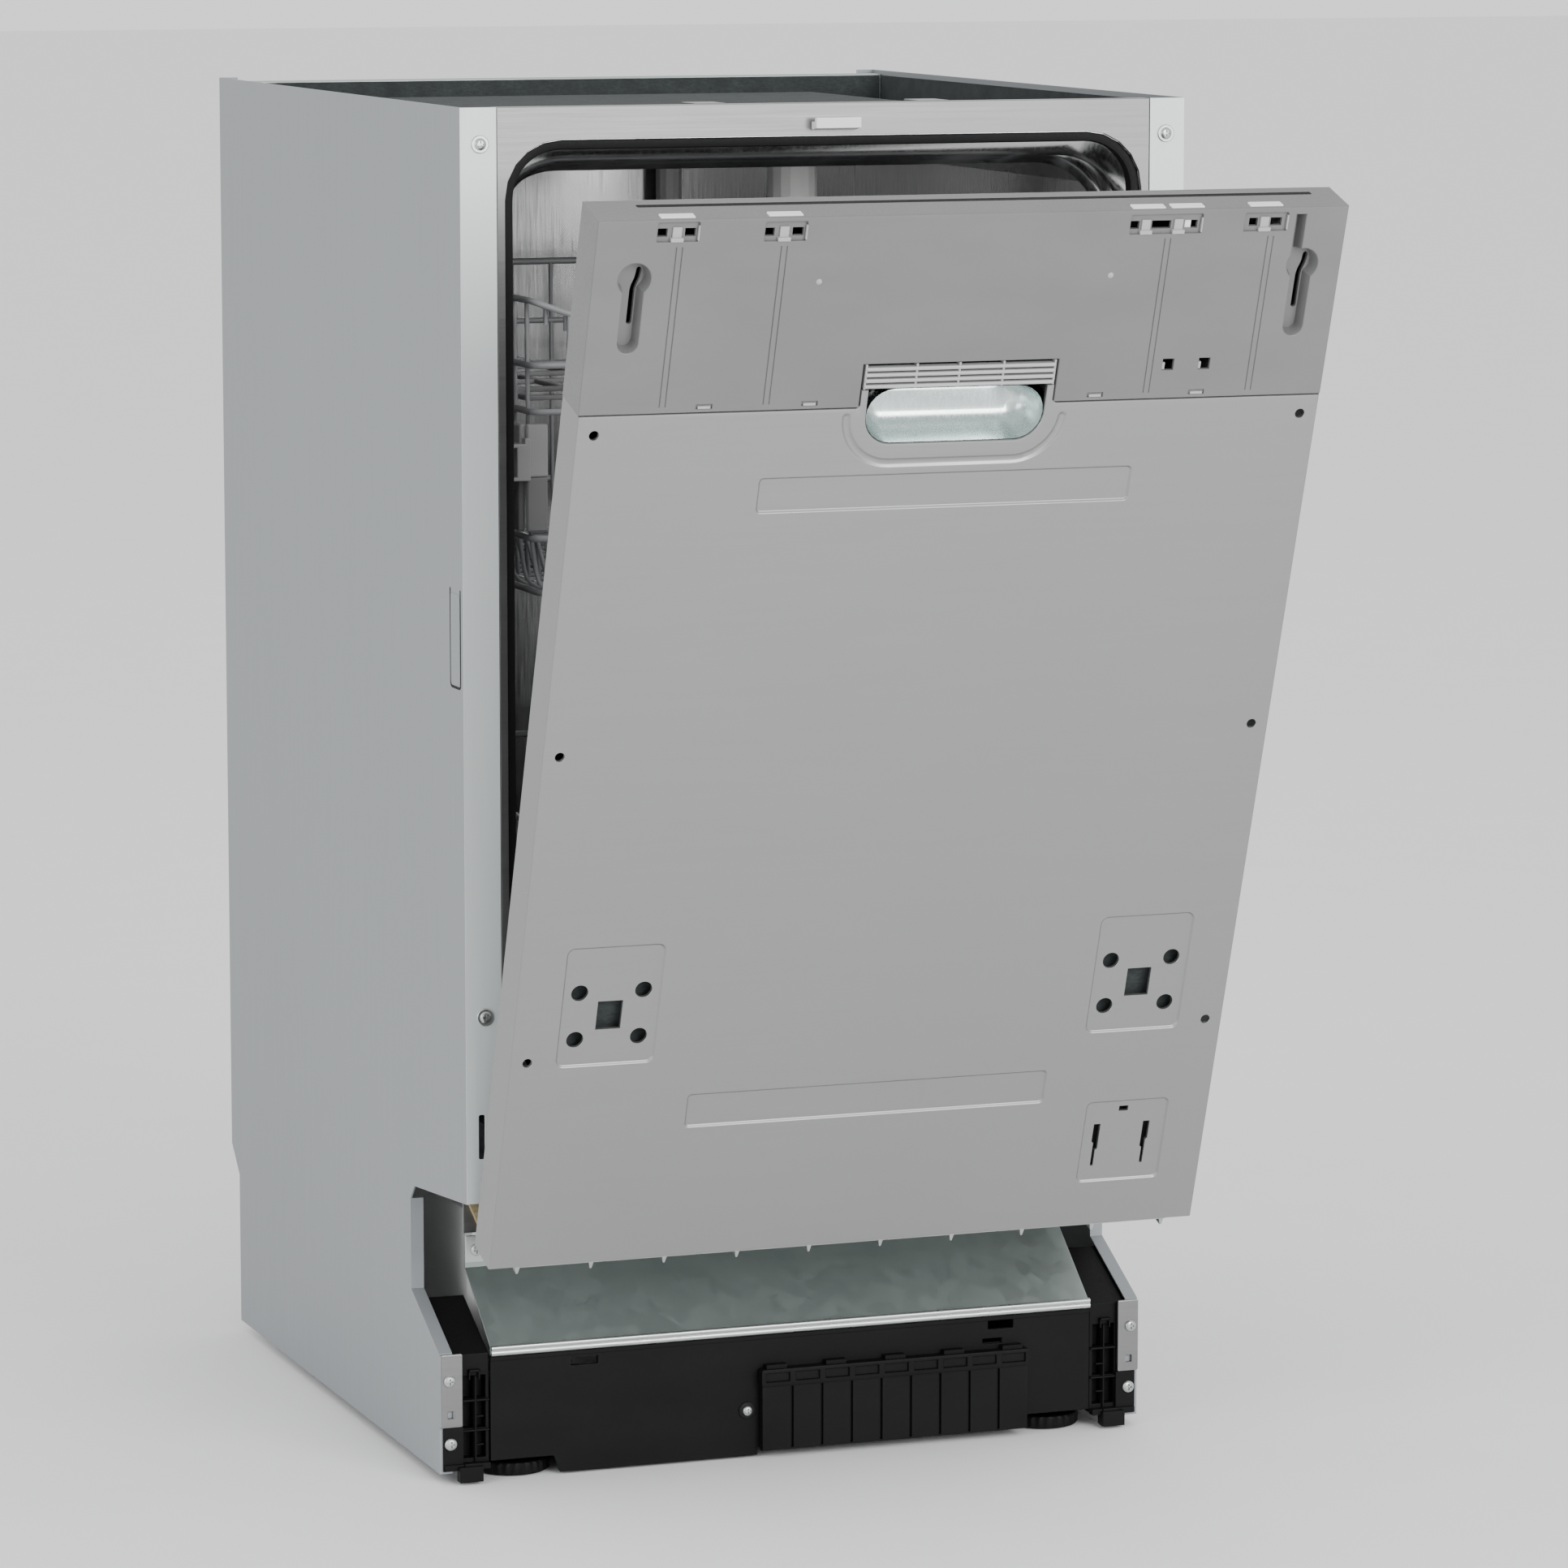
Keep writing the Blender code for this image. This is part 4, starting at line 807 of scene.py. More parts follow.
def console_details():
    """The parts clipped to the console, and a black strip that paints the shade inside its long top slot."""
    console_tongues()
    console_pips()
    vent_grille()
    # painted shade: a black strip flush under the slot's top stands in for the shade inside the opening
    strip = block(-192.8, 205.8, -14.5, -10.3, DOOR_TOP - 1.0, DOOR_TOP - 0.12)
    piece("top_slot_painted_shade", strip, "black", "door", DOOR, edge=0.1)


# -------- screws

def cross(centre, reach, half):
    """The outline of a cross recess."""
    u, v = centre
    points = [(half, -reach), (half, -half), (reach, -half), (reach, half), (half, half), (half, reach)]
    points += [(-a, -b) for a, b in points]
    return [(u + a, v + b) for a, b in points]


def screw(centre, y, radius, washer=0.0):
    """A cross-head screw that points to the rear, with its head standing on the plane y."""
    face = Face(lambda u, v, w: (u, y - w, v))
    height = 0.5 * radius
    steps = [(0.0, 0.0), (0.0, 0.4 * height), (0.12 * radius, 0.75 * height), (0.42 * radius, height)]
    last = face.stair(circle(centre, radius, 24), steps)[1]
    recess = cross(centre, 0.54 * radius, 0.13 * radius)
    slot, floor = face.stair(recess, [(0.0, height), (0.02 * radius, 0.2 * height)])
    face.fill(last, slot)
    face.fill(floor)
    shapes = [face.shape]
    if washer:
        profile = [(0.0, y), (washer, y), (washer, y - 0.5), (washer - 0.4, y - 0.8)]
        profile += [(radius, y - 0.8), (0.0, y - 0.8)]
        shapes.append(turned(profile, "Y", centre, 28))
    return joined(shapes)


CORNER_SCREWS = (
    # distance from the middle plane, height, plane of the seat, head radius and, with a washer, its radius
    (212.0, 794.0, -0.3, 3.6, 5.2),
    (212.0, 290.0, -0.3, 3.6, 5.2),
    (218.5, 62.4, BASE_FRONT - 2.4, 3.6),
    (217.6, 24.0, BASE_FRONT - 1.4, 3.8),
    (216.6, 151.6, 5.9, 3.4),
)
BASE_SCREW = (-30.7, 29.0)


def front_screws():
    shapes = []
    for side in (-1.0, 1.0):
        for x, z, *head in CORNER_SCREWS:
            shapes.append(screw((side * x, z), *head))
    shapes.append(screw(BASE_SCREW, BASE_FRONT - 1.2, 3.1))
    piece("front_screws", joined(shapes), "bright_zinc", "cabinet")
    profile = [(0.0, 0.0), (5.2, 0.0), (5.2, -0.8), (4.4, -1.3), (0.0, -1.3)]
    outline = [(radius, BASE_FRONT + along) for radius, along in profile]
    piece("base_screw_washer", turned(outline, "Y", BASE_SCREW, 24), "rubber", "cabinet")


# -------- cabinet details

def arch(half, top, radius, y, steps):
    """Points up one side of the tub's mouth, over its top and down the other side."""
    foot = 220.0
    points = [(half, foot)]
    points += arc((half - radius, top - radius), radius, 0, 90, steps)
    points += arc((radius - half, top - radius), radius, 90, 180, steps)
    points.append((-half, foot))
    return [(u, y, v) for u, v in points]


def mouth_line(offset, y):
    """A line at an offset from the rim of the tub's mouth."""
    return arch(TUB_HALF + offset, TUB_CEILING + offset, TUB_CORNER + offset, y, 10)


def collar_line(side, drop, y):
    """A line round the tub's mouth that hangs lower under the ceiling than it stands off the sides."""
    return arch(TUB_HALF - side, TUB_CEILING - drop, TUB_CORNER + 0.4 * drop, y, 12)


def flange_faces():
    """The coated fronts of the side panels' flanges, with the slot low down, in a lighter copy of the side
    sheet that paints the highlight of the front light.
    """
    for side in (-1.0, 1.0):
        face = Face(lambda u, v, w: (u, w - 0.28, v))
        outline = rectangle(*span(side, 223.9, 202.1), 180.2, 814.8)
        rim = face.stair(outline, [(0.2, 0.0), (0.03, 0.06), (0.0, 0.25)])[0]
        slot = face.punch(rounded(*span(side, 216.5, 212.5), 206.2, 232.8, 1.2, 3), through=0.5)
        face.fill(rim, slot)
        piece("flange_face_" + SIDES[side], face.shape, "flange_sheet", "cabinet", outward=(0.0, -1.0, 0.0))


def mouth_seal():
    """The hollow rubber seal with its lip."""
    profile = [(-0.4, 2.6), (-2.6, 2.3), (-4.9, 3.1), (-5.6, 5.4), (-4.6, 7.8), (-3.4, 8.4), (-3.2, 10.2)]
    profile += [(-4.4, 12.6), (-3.4, 13.4), (-1.8, 12.2), (-0.4, 12.2)]
    seal = piece("mouth_seal", sweep(profile, mouth_line), "rubber", "cabinet", angle=50.0)
    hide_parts("door_seal")


def tub_collars():
    """The collars pressed round the tub behind the seal."""
    collars = []
    for front, start, drop, reach in ((14.0, 3.0, 14.5, 3.2), (42.0, 12.0, 20.0, 4.6)):
        middle = (start + drop) / 2.0
        collar = [(0.1, 0.1, front), (0.5 * reach, start, front + 1.0), (0.8 * reach, middle, front + 4.0)]
        collar += [(reach, drop - 2.0, front + 9.0), (reach, drop, front + 11.0)]
        collar += [(0.8 * reach, drop, front + 13.0), (0.1, 0.1, front + 13.0)]
        collars.append(sweep(collar, collar_line))
    piece("tub_collars", joined(collars), "tub_sheet", "cabinet", angle=60.0)


def ceiling_nozzle():
    """The cap with a spray cone under the ceiling spray head."""
    profile = [(0.0, 746.0), (13.5, 746.0), (13.5, 743.2), (12.3, 742.0)]
    profile += [(6.0, 741.6), (4.6, 740.6), (0.0, 740.6)]
    piece("ceiling_nozzle", turned(profile, "Z", CEILING_SPRAY, 32), "light_grey", "cabinet")


def side_tab():
    """The lanced tab high on the front of the left side panel: a raised tongue, with the U-shaped cut round
    it drawn as a near-black band of painted shade.
    """
    face = Face(lambda u, v, w: (-HALF - 0.12 + w, u, v))
    cut = soft_band([(4.5, 538.0), (4.5, 481.5), (24.0, 481.5), (24.0, 538.0)], 3.0, 0.8)
    # painted shade: the cut is a flat band in the near-black rubber finish, standing in for the shade in the
    # slit
    face.fill(face.ring(cut, 0.0))
    piece("side_tab_cut_painted_shade", face.shape, "rubber", "cabinet", outward=(-1.0, 0.0, 0.0))
    face = Face(lambda u, v, w: (-HALF - 0.05 - w, u, v))
    face.fill(face.stair(rounded(6.0, 22.5, 483.0, 536.0, 2.0), [(0.0, 0.0), (0.3, 0.35), (1.0, 0.5)])[1])
    piece("side_tab_tongue", face.shape, "side_sheet", "cabinet", outward=(-1.0, 0.0, 0.0))


def hinge_corners():
    """The felt wedge over each hinge bracket and the gusset behind it."""
    felt = prism([(-222.3, 184.0), (-212.4, 161.2), (-209.2, 161.2), (-209.2, 184.0)], "Y", 7.4, 12.0)
    bmesh.ops.subdivide_edges(felt, edges=felt.edges[:], cuts=3, use_grid_fill=True)
    gusset = block(-222.4, -209.2, 12.2, 13.0, 160.6, 184.0)
    for name, shapes in (("right", (mirrored(felt), mirrored(gusset))), ("left", (felt, gusset))):
        piece("hinge_felt_" + name, shapes[0], "felt", "cabinet", angle=25.0)
        piece("hinge_gusset_" + name, shapes[1], "frame_sheet", "cabinet", edge=0.2)


def painted_shade_sheets():
    """Dark sheets along the cabinet's upper edge, at the rear and on both sides: painted shade inside the
    top of the cabinet.
    """
    # painted shade: near-black felt stands in for the shadow on the top rear brace and on the insides of the
    # side panels
    shapes = [block(-221.0, 221.0, 497.4, 498.8, 785.0, 811.8)]
    for x in (-222.4, 221.9):
        shapes.append(block(x, x + 0.5, 20.0, 496.0, 700.0, 811.8))
    piece("cabinet_painted_shade_sheets", joined(shapes), "dark_felt", "cabinet", edge=0.1)


def toe_hem():
    """The double hem along the front edge of the toe plate."""
    outline = [(56.8, 75.2), (55.5, 75.2), (54.8, 76.0), (54.8, 77.6), (55.5, 78.2)]
    outline += [(54.8, 78.8), (54.8, 80.4), (55.4, 81.2), (56.8, 81.4)]
    piece("toe_hem", prism(outline, "X", -192.0, 192.0), "bright_zinc", "cabinet", angle=50.0)


COVER = (-23.0, 149.0, 9)                       # left and right edge of the ribbed cover, and its panels
PLATE_STEPS = [(0.5, 0.0), (0.1, 0.15), (0.0, 0.5)]


def cover_panels(skin, middles, step):
    """The cover's sheet with the grooves between its panels."""
    left, right = COVER[:2]
    face = Face(lambda u, v, w: (u, skin + w, v))
    rim = face.stair(rectangle(left, right, 4.6, 45.0), PLATE_STEPS + [(0.0, 6.0)])[0]
    grooves = []
    for middle in middles[:-1]:
        x = middle + 0.5 * step
        groove = rectangle(x - 0.9, x + 0.9, 5.6, 43.6)
        grooves.append(face.press(groove, [(0.0, 0.0), (0.25, 0.4), (0.35, 1.8)]))
    face.fill(rim, *grooves)
    return face.shape


def cover_rim(skin, middles):
    """The cover's upper rim with a small window over each panel."""
    left, right = COVER[:2]
    face = Face(lambda u, v, w: (u, skin - 1.4 + w, v))
    outline = rounded(left - 0.8, right + 0.8, 44.2, 54.6, 1.2, 3)
    rim = face.stair(outline, PLATE_STEPS + [(0.0, 7.4)])[0]
    windows = []
    for x in middles:
        window = rectangle(x - 8.0, x + 8.0, 46.6, 52.6)
        windows.append(face.press(window, [(0.0, 0.0), (0.3, 0.3), (0.5, 1.6)]))
    face.fill(rim, *windows)
    return face.shape


def base_cover():
    """The clipped-on ribbed cover, and the ledge under the toe plate's edge."""
    left, right, panels = COVER
    step = (right - left) / panels
    middles = [left + (i + 0.5) * step for i in range(panels)]
    skin = BASE_FRONT - 6.5
    shapes = [cover_panels(skin, middles, step), cover_rim(skin, middles)]
    shapes += [block(x - 6.5, x + 6.5, skin + 1.0, BASE_FRONT - 0.4, 54.4, 57.0) for x in middles[::2]]
    cover = piece("base_cover", joined(shapes), "black", "cabinet", outward=(0.0, -1.0, 0.2))
    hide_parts("ribbed_cover")
    ledge = block(-192.2, 192.2, BASE_FRONT - 0.6, BASE_FRONT + 0.5, 72.0, 74.6)
    piece("base_ledge", ledge, "black", "cabinet", edge=0.3)


def plinth_lugs():
    """The steel lug plate on each lower front corner, with its square hole."""
    front = BASE_FRONT - 2.4
    for side in (-1.0, 1.0):
        face = Face(lambda u, v, w: (u, front + w, v))
        outline = rounded(*span(side, 223.6, 210.4), 34.2, 78.4, 0.8, 3)
        rim = face.stair(outline, [(0.4, 0.0), (0.1, 0.1), (0.0, 0.4), (0.0, 2.0)])[0]
        hole = face.punch(rectangle(*span(side, 219.8, 215.4), 39.6, 44.2), through=2.6)
        face.fill(rim, hole)
        piece("plinth_lug_" + SIDES[side], face.shape, "frame_sheet", "cabinet", outward=(0.0, -1.0, 0.0))


POST_RIBS = (
    # left, right, front and rear (behind the base's front plane), low and high, on the left post
    (-222.2, -209.6, -1.4, -0.3, 7.4, 33.8),
    (-209.8, -193.2, -0.6, 2.4, 48.6, 49.9),
    (-209.8, -193.2, -0.6, 2.4, 30.4, 31.6),
    (-202.3, -201.2, -0.6, 2.4, 12.0, 64.0),
    (-206.0, -199.0, -1.1, 1.4, 66.5, 68.0),
    (-201.4, -196.8, -0.6, 1.8, 21.8, 22.8),
    (-201.4, -196.8, -0.6, 1.8, 39.0, 40.0),
    (-206.0, -205.0, -1.1, 1.4, 62.0, 68.0),
    (-200.0, -199.0, -1.1, 1.4, 62.0, 68.0),
    (-221.5, -193.4, -3.5, 2.5, 8.0, 11.6),
    (-213.5, -199.0, -7.0, -0.5, 1.2, 10.5),
)


def post_ribs():
    """The ribs, hook and foot clip moulded on each corner post."""
    ribs = [(x0, x1, BASE_FRONT + y0, BASE_FRONT + y1, z0, z1) for x0, x1, y0, y1, z0, z1 in POST_RIBS]
    left = joined([block(*rib) for rib in ribs])
    right = mirrored(left)
    piece("post_ribs_left", left, "black", "cabinet", edge=0.35)
    piece("post_ribs_right", right, "black", "cabinet", edge=0.35)


def knurled_disc(x, y):
    rings = []
    lobes = 28
    steps = 4 * lobes
    for radius, z, wave in (
            (19.0, 0.0, 0.0), (21.6, 0.2, 0.0), (22.4, 1.4, 0.9), (22.4, 6.2, 0.9), (21.4, 7.4, 0.5)):
        ring = []
        for i in range(steps):
            angle = 2.0 * math.pi * i / steps
            reach = radius + wave * (0.6 * math.cos(lobes * angle) - 0.4)
            ring.append((x + reach * math.cos(angle), y + reach * math.sin(angle), z))
        rings.append(ring)
    return loft(rings)


def levelling_foot(name, x, y):
    """A knurled disc on a threaded stem."""
    disc = knurled_disc(x, y)
    thread = [(0.0, 7.0), (5.0, 7.0)]
    z = 8.0
    while z < 52.0:
        thread += [(5.0, z), (4.3, z + 0.75)]
        z += 1.5
    thread += [(4.4, 53.5), (0.0, 54.0)]
    foot = piece(name + "_disc", joined([disc, turned(thread, "Z", (x, y), 20)]), "black", name)
    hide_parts(name)


def top_felt():
    """The torn edge of the felt blanket that shows behind the front frame's top edge."""
    shape = bmesh.new()
    columns = 120
    rows = []
    for row, (y, lift) in enumerate(((14.0, 0.0), (18.0, 2.2), (24.0, 3.2), (31.0, 1.6))):
        line = []
        for i in range(columns + 1):
            x = -186.0 + 372.0 * i / columns
            wave = math.sin(i * 1.7) + 0.6 * math.sin(i * 4.3 + row) + 0.4 * math.sin(i * 9.1 + 2 * row)
            line.append(shape.verts.new((x, y + 0.8 * wave, 802.0 + lift + 0.9 * wave)))
        rows.append(line)
    for near, far in zip(rows, rows[1:]):
        for i in range(columns):
            shape.faces.new((near[i], near[i + 1], far[i + 1], far[i]))
    piece("top_felt", shape, "grey_felt", "cabinet", outward=(0.0, 0.0, 1.0))


# -------- racks

def dip_at(x, half, dip):
    """How far a rim's front hangs below its corners at x."""
    return dip * (1.0 - (min(abs(x), half) / half) ** 2.5)


def loop(half, front, rear, z, corner=18.0, dip=0.0):
    """A closed rim wire; dip lowers the middle of its front in a curve."""
    path = [(0.0, front, z - dip)]
    path += [(half * t, front, z - dip_at(half * t, half, dip)) for t in (0.25, 0.5, 0.65, 0.8, 0.9)]
    path += [(half, front, z), (half, rear, z), (-half, rear, z), (-half, front, z)]
    path += [(-half * t, front, z - dip_at(half * t, half, dip)) for t in (0.9, 0.8, 0.65, 0.5, 0.25)]
    return bent(path + [(0.0, front, z - dip)], corner)


def spread(low, high, count):
    return [low + (high - low) * i / (count - 1) for i in range(count)]


def basket_rims(size, rim_dip, levels, bars):
    """The thick wires of a basket: its rim, the loops round its sides and floor, and its floor bars."""
    half, front, rear, floor, top = size
    paths = [loop(half - 2.2, front + 2.2, rear - 2.2, top - 2.4, 22.0, rim_dip)]
    paths += [loop(half - 2.6, front + 2.6, rear - 2.6, z, 18.0) for z in levels]
    paths.append(loop(half - 9.0, front + 10.0, rear - 10.0, floor + 2.2, 14.0))
    return paths + [[(x, front + 8.0, floor + 2.2), (x, rear - 8.0, floor + 2.2)] for x in bars]


def basket_wires(size, rim_dip):
    """The fine wires of a basket: U-shaped wires both ways."""
    lean = 7.0
    half, front, rear, floor, top = size
    half, floor, top = half - 2.2, floor + 2.0, top - 2.4
    front, rear = front + 2.2, rear - 2.2
    paths = []
    for y in spread(front + 12.0, rear - 12.0, 15):
        points = [(-half, y, top), (-half + 1.0, y, floor + 40.0), (-half + lean, y, floor)]
        points += [(half - lean, y, floor), (half - 1.0, y, floor + 40.0), (half, y, top)]
        paths.append(bent(points, 12.0))
    for x in spread(-half + 22.0, half - 22.0, 12):
        points = [(x, front, top - dip_at(x, half, rim_dip)), (x, front + 2.0, floor + 30.0)]
        points += [(x, front + lean, floor), (x, rear - lean, floor)]
        points += [(x, rear - 2.0, floor + 30.0), (x, rear, top)]
        paths.append(bent(points, 12.0))
    return paths


def tines(x, front, rear, floor, height, pitch, lean):
    """A row of plate tines on a base wire."""
    paths = [[(x, front, floor + 3.5), (x, rear, floor + 3.5)]]
    y = front + 6.0
    while y < rear - 4.0:
        tine = [(x, y, floor + 2.0), (x, y, floor + height * 0.5), (x + lean, y, floor + height)]
        paths.append(bent(tine, 8.0))
        y += pitch
    return paths


def upper_basket():
    half, front, _, floor, top = UPPER
    dip = RIM_DIPS[0]
    thick = basket_rims(UPPER, dip, (663.0, 636.0, 562.0), (-90.0, 0.0, 90.0))
    rim = wires("upper_basket_rims", thick, 2.1, "upper_rack")
    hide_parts("upper_rack")
    fine = basket_wires(UPPER, dip)
    for x in spread(-half + 10.0, half - 10.0, 27):
        z = top - 2.4 - dip_at(x, half - 2.2, dip)
        fine.append([(x, front + 2.6, z), (x + 1.5, front + 7.0, z - 5.0), (x + 1.5, front + 7.0, z - 11.0)])
    fine += tines(20.0, 60.0, 390.0, floor, 62.0, 21.0, 9.0)
    fine += tines(110.0, 60.0, 390.0, floor, 46.0, 21.0, 8.0)
    zigzag = []
    for i in range(34):
        across, lift = ((0.0, 33.0), (5.0, 5.0))[i % 2]
        zigzag.append((-half + 13.0 + across, 56.0 + 10.0 * i, floor + lift))
    fine.append(bent(zigzag, 3.0, 3))
    wires("upper_basket_wires", fine, 1.35, "upper_rack")


def upper_rails():
    """The rack's side channels with their comb edges."""
    outline = [(187.8, 596.2), (187.8, 598.4), (175.8, 598.4), (175.8, 615.6), (187.8, 615.6)]
    outline += [(187.8, 617.8), (171.0, 617.8), (171.0, 621.0), (167.5, 621.0), (167.5, 596.2)]
    rail = prism(outline, "Y", 46.0, 416.0)
    shapes = [mirrored(rail), rail]
    for side in (-1.0, 1.0):
        for i in range(18):
            shapes.append(block(*span(side, 168.0, 170.6), 60.0 + 18.0 * i, 65.0 + 18.0 * i, 620.5, 625.5))
    piece("upper_rails", joined(shapes), "light_grey", "upper_rack", edge=0.6)


def upper_plates():
    """The rack's adjusting plates with their caps, and the mount of its spray arm."""
    front = UPPER[1]
    plates = []
    caps = []
    for side in (-1.0, 1.0):
        for y in (54.0, 300.0):
            plates.append(block(*span(side, 168.6, 172.6), y, y + 62.0, 566.0, 598.0))
            caps.append(block(*span(side, 168.6, 172.6), y - 2.0, y + 64.0, 598.0, 629.0))
        plates.append(block(*span(side, 156.0, 169.0), front + 5.0, front + 8.0, 566.0, 598.0))
        caps.append(block(*span(side, 156.0, 169.0), front + 4.4, front + 8.6, 598.0, 629.0))
    piece("upper_plate_caps", joined(caps), "light_grey", "upper_rack", edge=1.2)
    profile = [(0.0, 520.0), (11.5, 520.0), (13.0, 523.0), (13.0, 527.0)]
    profile += [(18.0, 530.0), (18.0, 533.0), (0.0, 533.0)]
    plates.append(turned(profile, "Z", (0.0, UPPER_ARM[0]), 24))
    piece("upper_plates", joined(plates), "grey", "upper_rack", edge=1.2)


def rail_rollers():
    """The rollers on the tub's walls that carry the upper rack's channels."""
    profile = [(0.0, 177.0), (7.0, 177.0), (8.4, 178.2), (8.4, 184.3), (7.0, 185.5)]
    profile += [(3.5, 185.5), (3.5, 196.4), (0.0, 196.4)]
    rollers = []
    for side in (-1.0, 1.0):
        outline = [(radius, side * along) for radius, along in profile]
        rollers += [turned(outline, "X", (y, RAIL_Z), 24) for y in (110.0, 200.0)]
    piece("rail_rollers", joined(rollers), "white", "cabinet")


def lower_basket():
    floor = LOWER[3]
    thick = basket_rims(LOWER, RIM_DIPS[1], (340.0, 268.0), (-100.0, -33.0, 33.0, 100.0))
    rim = wires("lower_basket_rims", thick, 2.1, "lower_rack")
    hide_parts("lower_rack")
    fine = basket_wires(LOWER, RIM_DIPS[1])
    for x in (-120.0, -60.0, 0.0, 60.0):
        fine += tines(x, 50.0, 405.0, floor, 78.0, 24.0, 8.0)
    wires("lower_basket_wires", fine, 1.35, "lower_rack")
    carriers = []
    for side in (-1.0, 1.0):
        stub = [(0.0, side * 168.0), (4.6, side * 168.0), (4.6, side * 174.6), (0.0, side * 174.6)]
        for y in (FRONT_WHEEL_Y, REAR_WHEEL_Y):
            plate = span(side, 166.4, 171.0)
            carriers.append(block(*plate, y - 8.0, y + 8.0, WHEEL_Z - 7.0, floor + 14.0))
            carriers.append(turned(stub, "X", (y, WHEEL_Z), 20))
    piece("wheel_carriers", joined(carriers), "grey", "lower_rack", edge=0.8)


def rack_wheel(name, side, y):
    """A spoked plastic wheel with a hub cap and a rounded tread."""
    near, far = side * 175.2, side * 186.8
    mid = (near + far) / 2.0
    rim = [(WHEEL_RADIUS - 3.4, near), (WHEEL_RADIUS - 0.9, near), (WHEEL_RADIUS, near + side * 1.2)]
    rim += [(WHEEL_RADIUS, far - side * 1.2), (WHEEL_RADIUS - 0.9, far), (WHEEL_RADIUS - 3.4, far)]
    rings = []
    for radius, along in rim:
        rings.append([(along, y + u, WHEEL_Z + v) for u, v in circle((0.0, 0.0), radius, 32)])
    shapes = [loft(rings, closed=True)]
    hub = [(0.0, near), (5.2, near), (5.2, far), (3.4, far + side * 0.2), (0.0, far + side * 0.2)]
    shapes.append(turned(hub, "X", (y, WHEEL_Z), 24))
    for i in range(6):
        angle = math.pi * i / 3.0
        ahead = Vector((math.cos(angle), math.sin(angle)))
        across = Vector((-ahead.y, ahead.x)) * 1.1
        corners = [ahead * 4.8 + across, ahead * 12.0 + across, ahead * 12.0 - across, ahead * 4.8 - across]
        shapes.append(prism([(y + c.x, WHEEL_Z + c.y) for c in corners], "X", mid - 3.5, mid + 3.5))
    wheel = piece(name + "_spoked", joined(shapes), "grey", name, edge=0.3)
    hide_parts(name)


def spray_arm(name, centre_y, z):
    """A hollow blade with rounded edges, a hub and two rows of nozzles."""
    rings = []
    for t in spread(-1.0, 1.0, 25):
        wide = 17.0 - 8.0 * abs(t) ** 1.2
        if abs(t) > 0.95:
            wide -= 3.0
        y = centre_y + t * (ARM_REACH - 0.3)
        ring = []
        for i in range(16):
            angle = 2.0 * math.pi * i / 16
            flat = 3.9 * math.copysign(abs(math.sin(angle)) ** 0.6, math.sin(angle))
            ring.append((wide * math.cos(angle) * 0.99, y, z + 4.0 + flat))
        rings.append(ring)
    shapes = [loft(rings)]
    profile = [(0.0, z - 0.8), (20.0, z - 0.8), (21.6, z + 1.0), (21.6, z + 8.0)]
    profile += [(18.0, z + 10.8), (0.0, z + 11.6)]
    shapes.append(turned(profile, "Z", (0.0, centre_y), 36))
    nozzle = [(0.0, z + 7.0), (3.2, z + 7.0), (2.4, z + 8.8), (1.2, z + 8.8), (1.0, z + 7.6), (0.0, z + 7.6)]
    for i, t in enumerate((-0.88, -0.7, -0.5, -0.3, 0.3, 0.5, 0.7, 0.88)):
        across = 3.5 if i % 2 else -3.5
        shapes.append(turned(nozzle, "Z", (across, centre_y + t * ARM_REACH), 16))
    arm = piece(name + "_blade", joined(shapes), "light_grey", name, angle=45.0)
    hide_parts(name)


# -------- camera, lights and floor

def aimed(item, target):
    direction = Vector(target) - item.location
    item.rotation_euler = direction.to_track_quat("-Z", "Y").to_euler()


def make_camera():
    data = bpy.data.cameras.new("camera")
    data.lens = 152.0
    data.sensor_width = 36.0
    data.clip_end = 50.0
    data.dof.use_dof = False
    camera = bpy.data.objects.new("camera", data)
    camera.location = CAMERA_AT
    azimuth, tilt = CAMERA_TURN
    level = math.cos(tilt)
    ahead = Vector((math.sin(azimuth) * level, math.cos(azimuth) * level, -math.sin(tilt)))
    camera.rotation_euler = ahead.to_track_quat("-Z", "Y").to_euler()
    SCENE.collection.objects.link(camera)
    SCENE.camera = camera


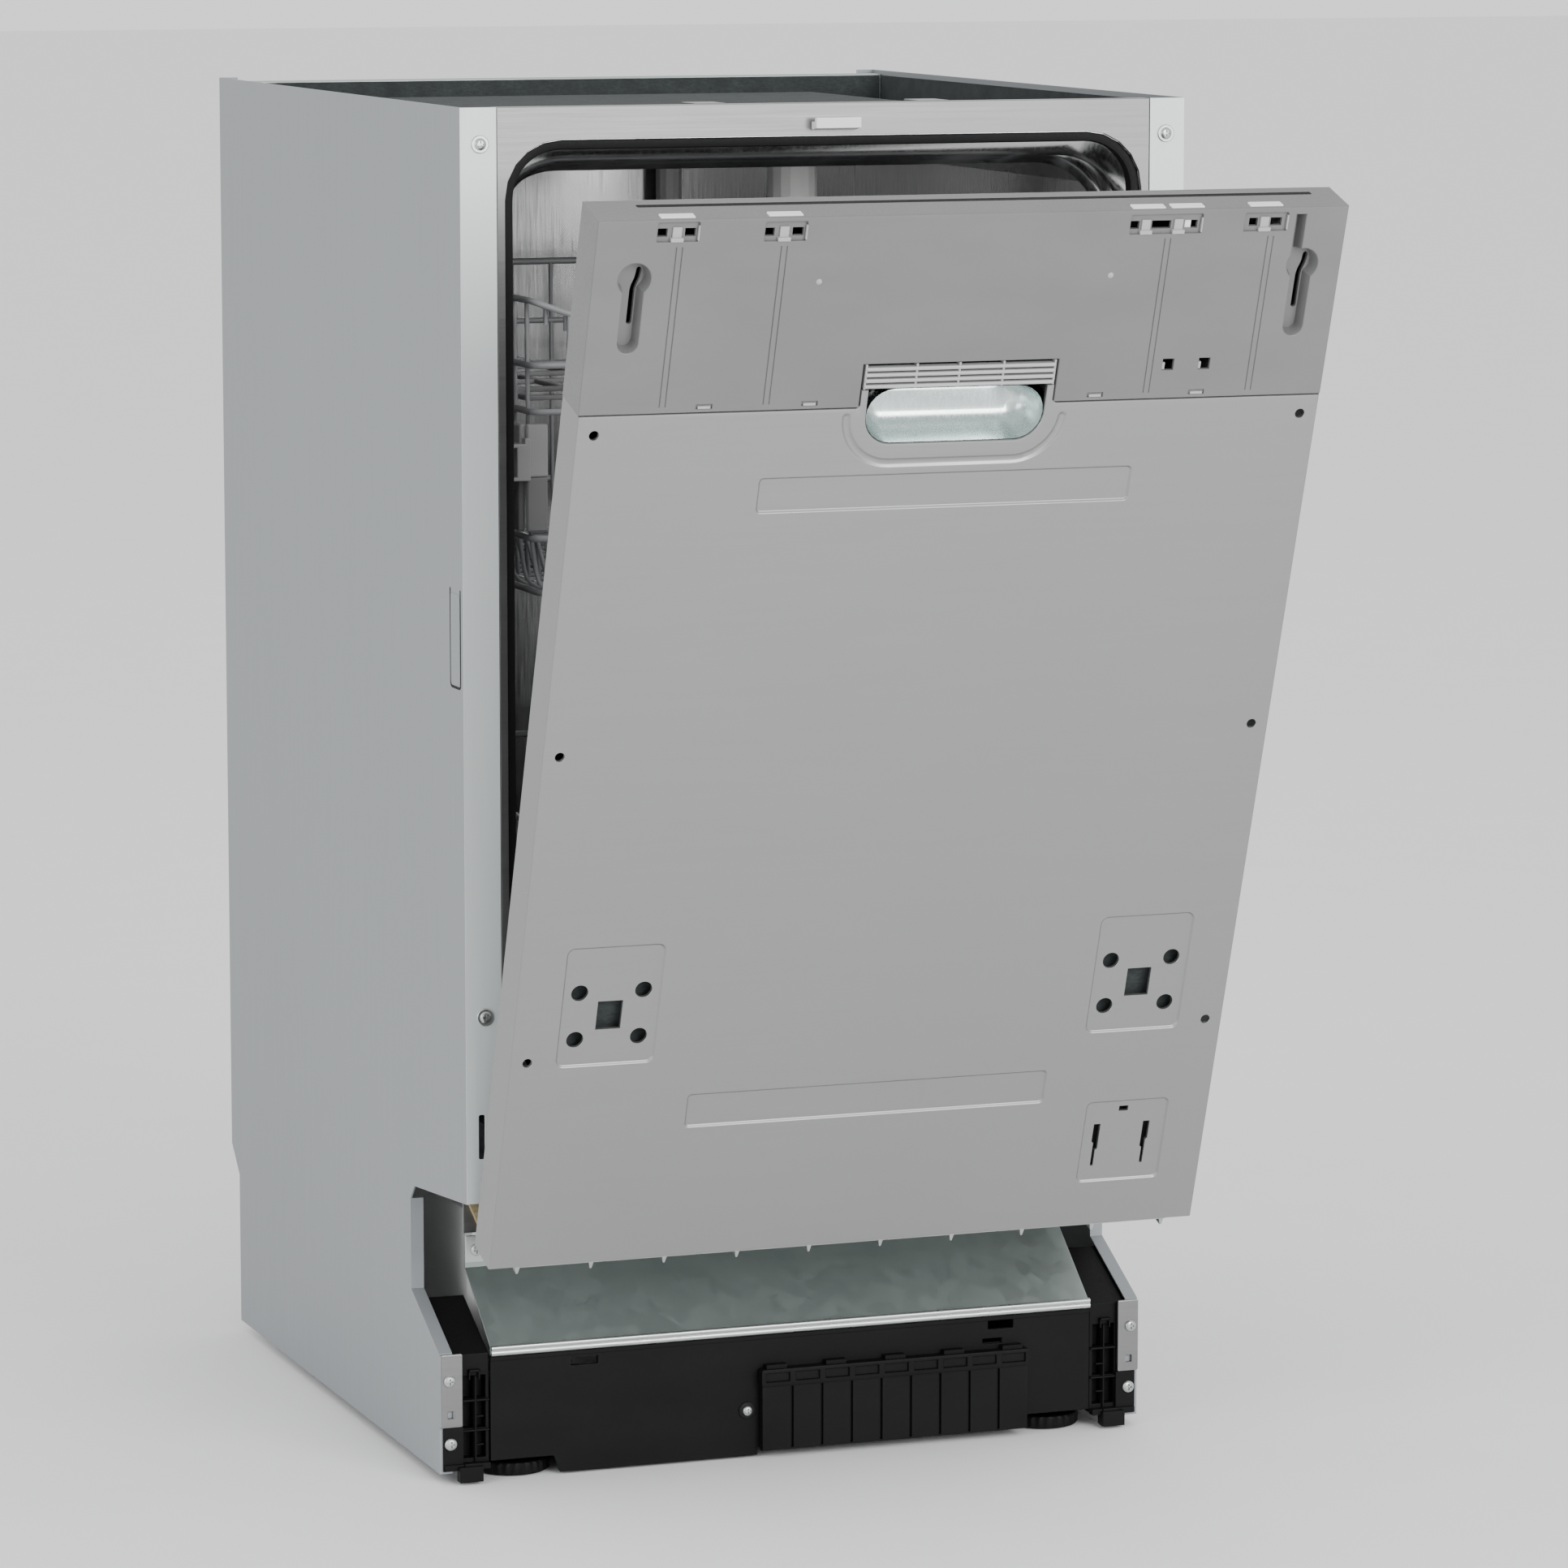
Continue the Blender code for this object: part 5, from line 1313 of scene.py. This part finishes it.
def area_light(name, location, target, size, power, colour=(1.0, 1.0, 1.0)):
    data = bpy.data.lights.new(name, "AREA")
    data.shape = "RECTANGLE"
    data.size, data.size_y = size
    data.energy = power
    data.color = colour
    light = bpy.data.objects.new(name, data)
    light.location = location
    aimed(light, target)
    SCENE.collection.objects.link(light)


def make_studio():
    world = bpy.data.worlds.new("studio")
    world.use_nodes = True
    background = world.node_tree.nodes["Background"]
    background.inputs["Color"].default_value = (1.0, 1.0, 1.0, 1.0)
    background.inputs["Strength"].default_value = 1.25
    SCENE.world = world
    area_light("key", (0.9, -3.6, 1.5), (0.0, -0.2, 0.4), (1.8, 1.8), 110.0)
    area_light("fill", (-3.2, -1.6, 1.4), (0.0, 0.0, 0.4), (2.0, 2.0), 40.0, (0.94, 0.97, 1.0))
    shape = bmesh.new()
    corners = [(-30.0, -30.0, 0.0), (30.0, -30.0, 0.0), (30.0, 30.0, 0.0), (-30.0, 30.0, 0.0)]
    shape.faces.new([shape.verts.new(corner) for corner in corners])
    mesh = bpy.data.meshes.new("floor")
    shape.to_mesh(mesh)
    shape.free()
    floor = bpy.data.objects.new("floor", mesh)
    floor.location.z = -0.0005
    mesh.materials.append(moulded("floor_paint", (0.86, 0.86, 0.86), 0.9, 40.0, 0.0, 0.01))
    SCENE.collection.objects.link(floor)


def build():
    make_camera()
    make_studio()
    dress_kept_nodes()
    door_skin()
    finger_pocket()
    console_shell()
    console_details()
    front_screws()
    mouth_seal()
    tub_collars()
    ceiling_nozzle()
    flange_faces()
    side_tab()
    hinge_corners()
    painted_shade_sheets()
    toe_hem()
    base_cover()
    plinth_lugs()
    post_ribs()
    top_felt()
    for name, place in FEET.items():
        levelling_foot(name, *place)
    upper_basket()
    upper_rails()
    upper_plates()
    rail_rollers()
    lower_basket()
    for end, y in (("front", FRONT_WHEEL_Y), ("rear", REAR_WHEEL_Y)):
        for side in (-1.0, 1.0):
            rack_wheel(f"lower_wheel_{end}_{SIDES[side]}", side, y)
    spray_arm("lower_spray_arm", *LOWER_ARM)
    spray_arm("upper_spray_arm", *UPPER_ARM)


build()
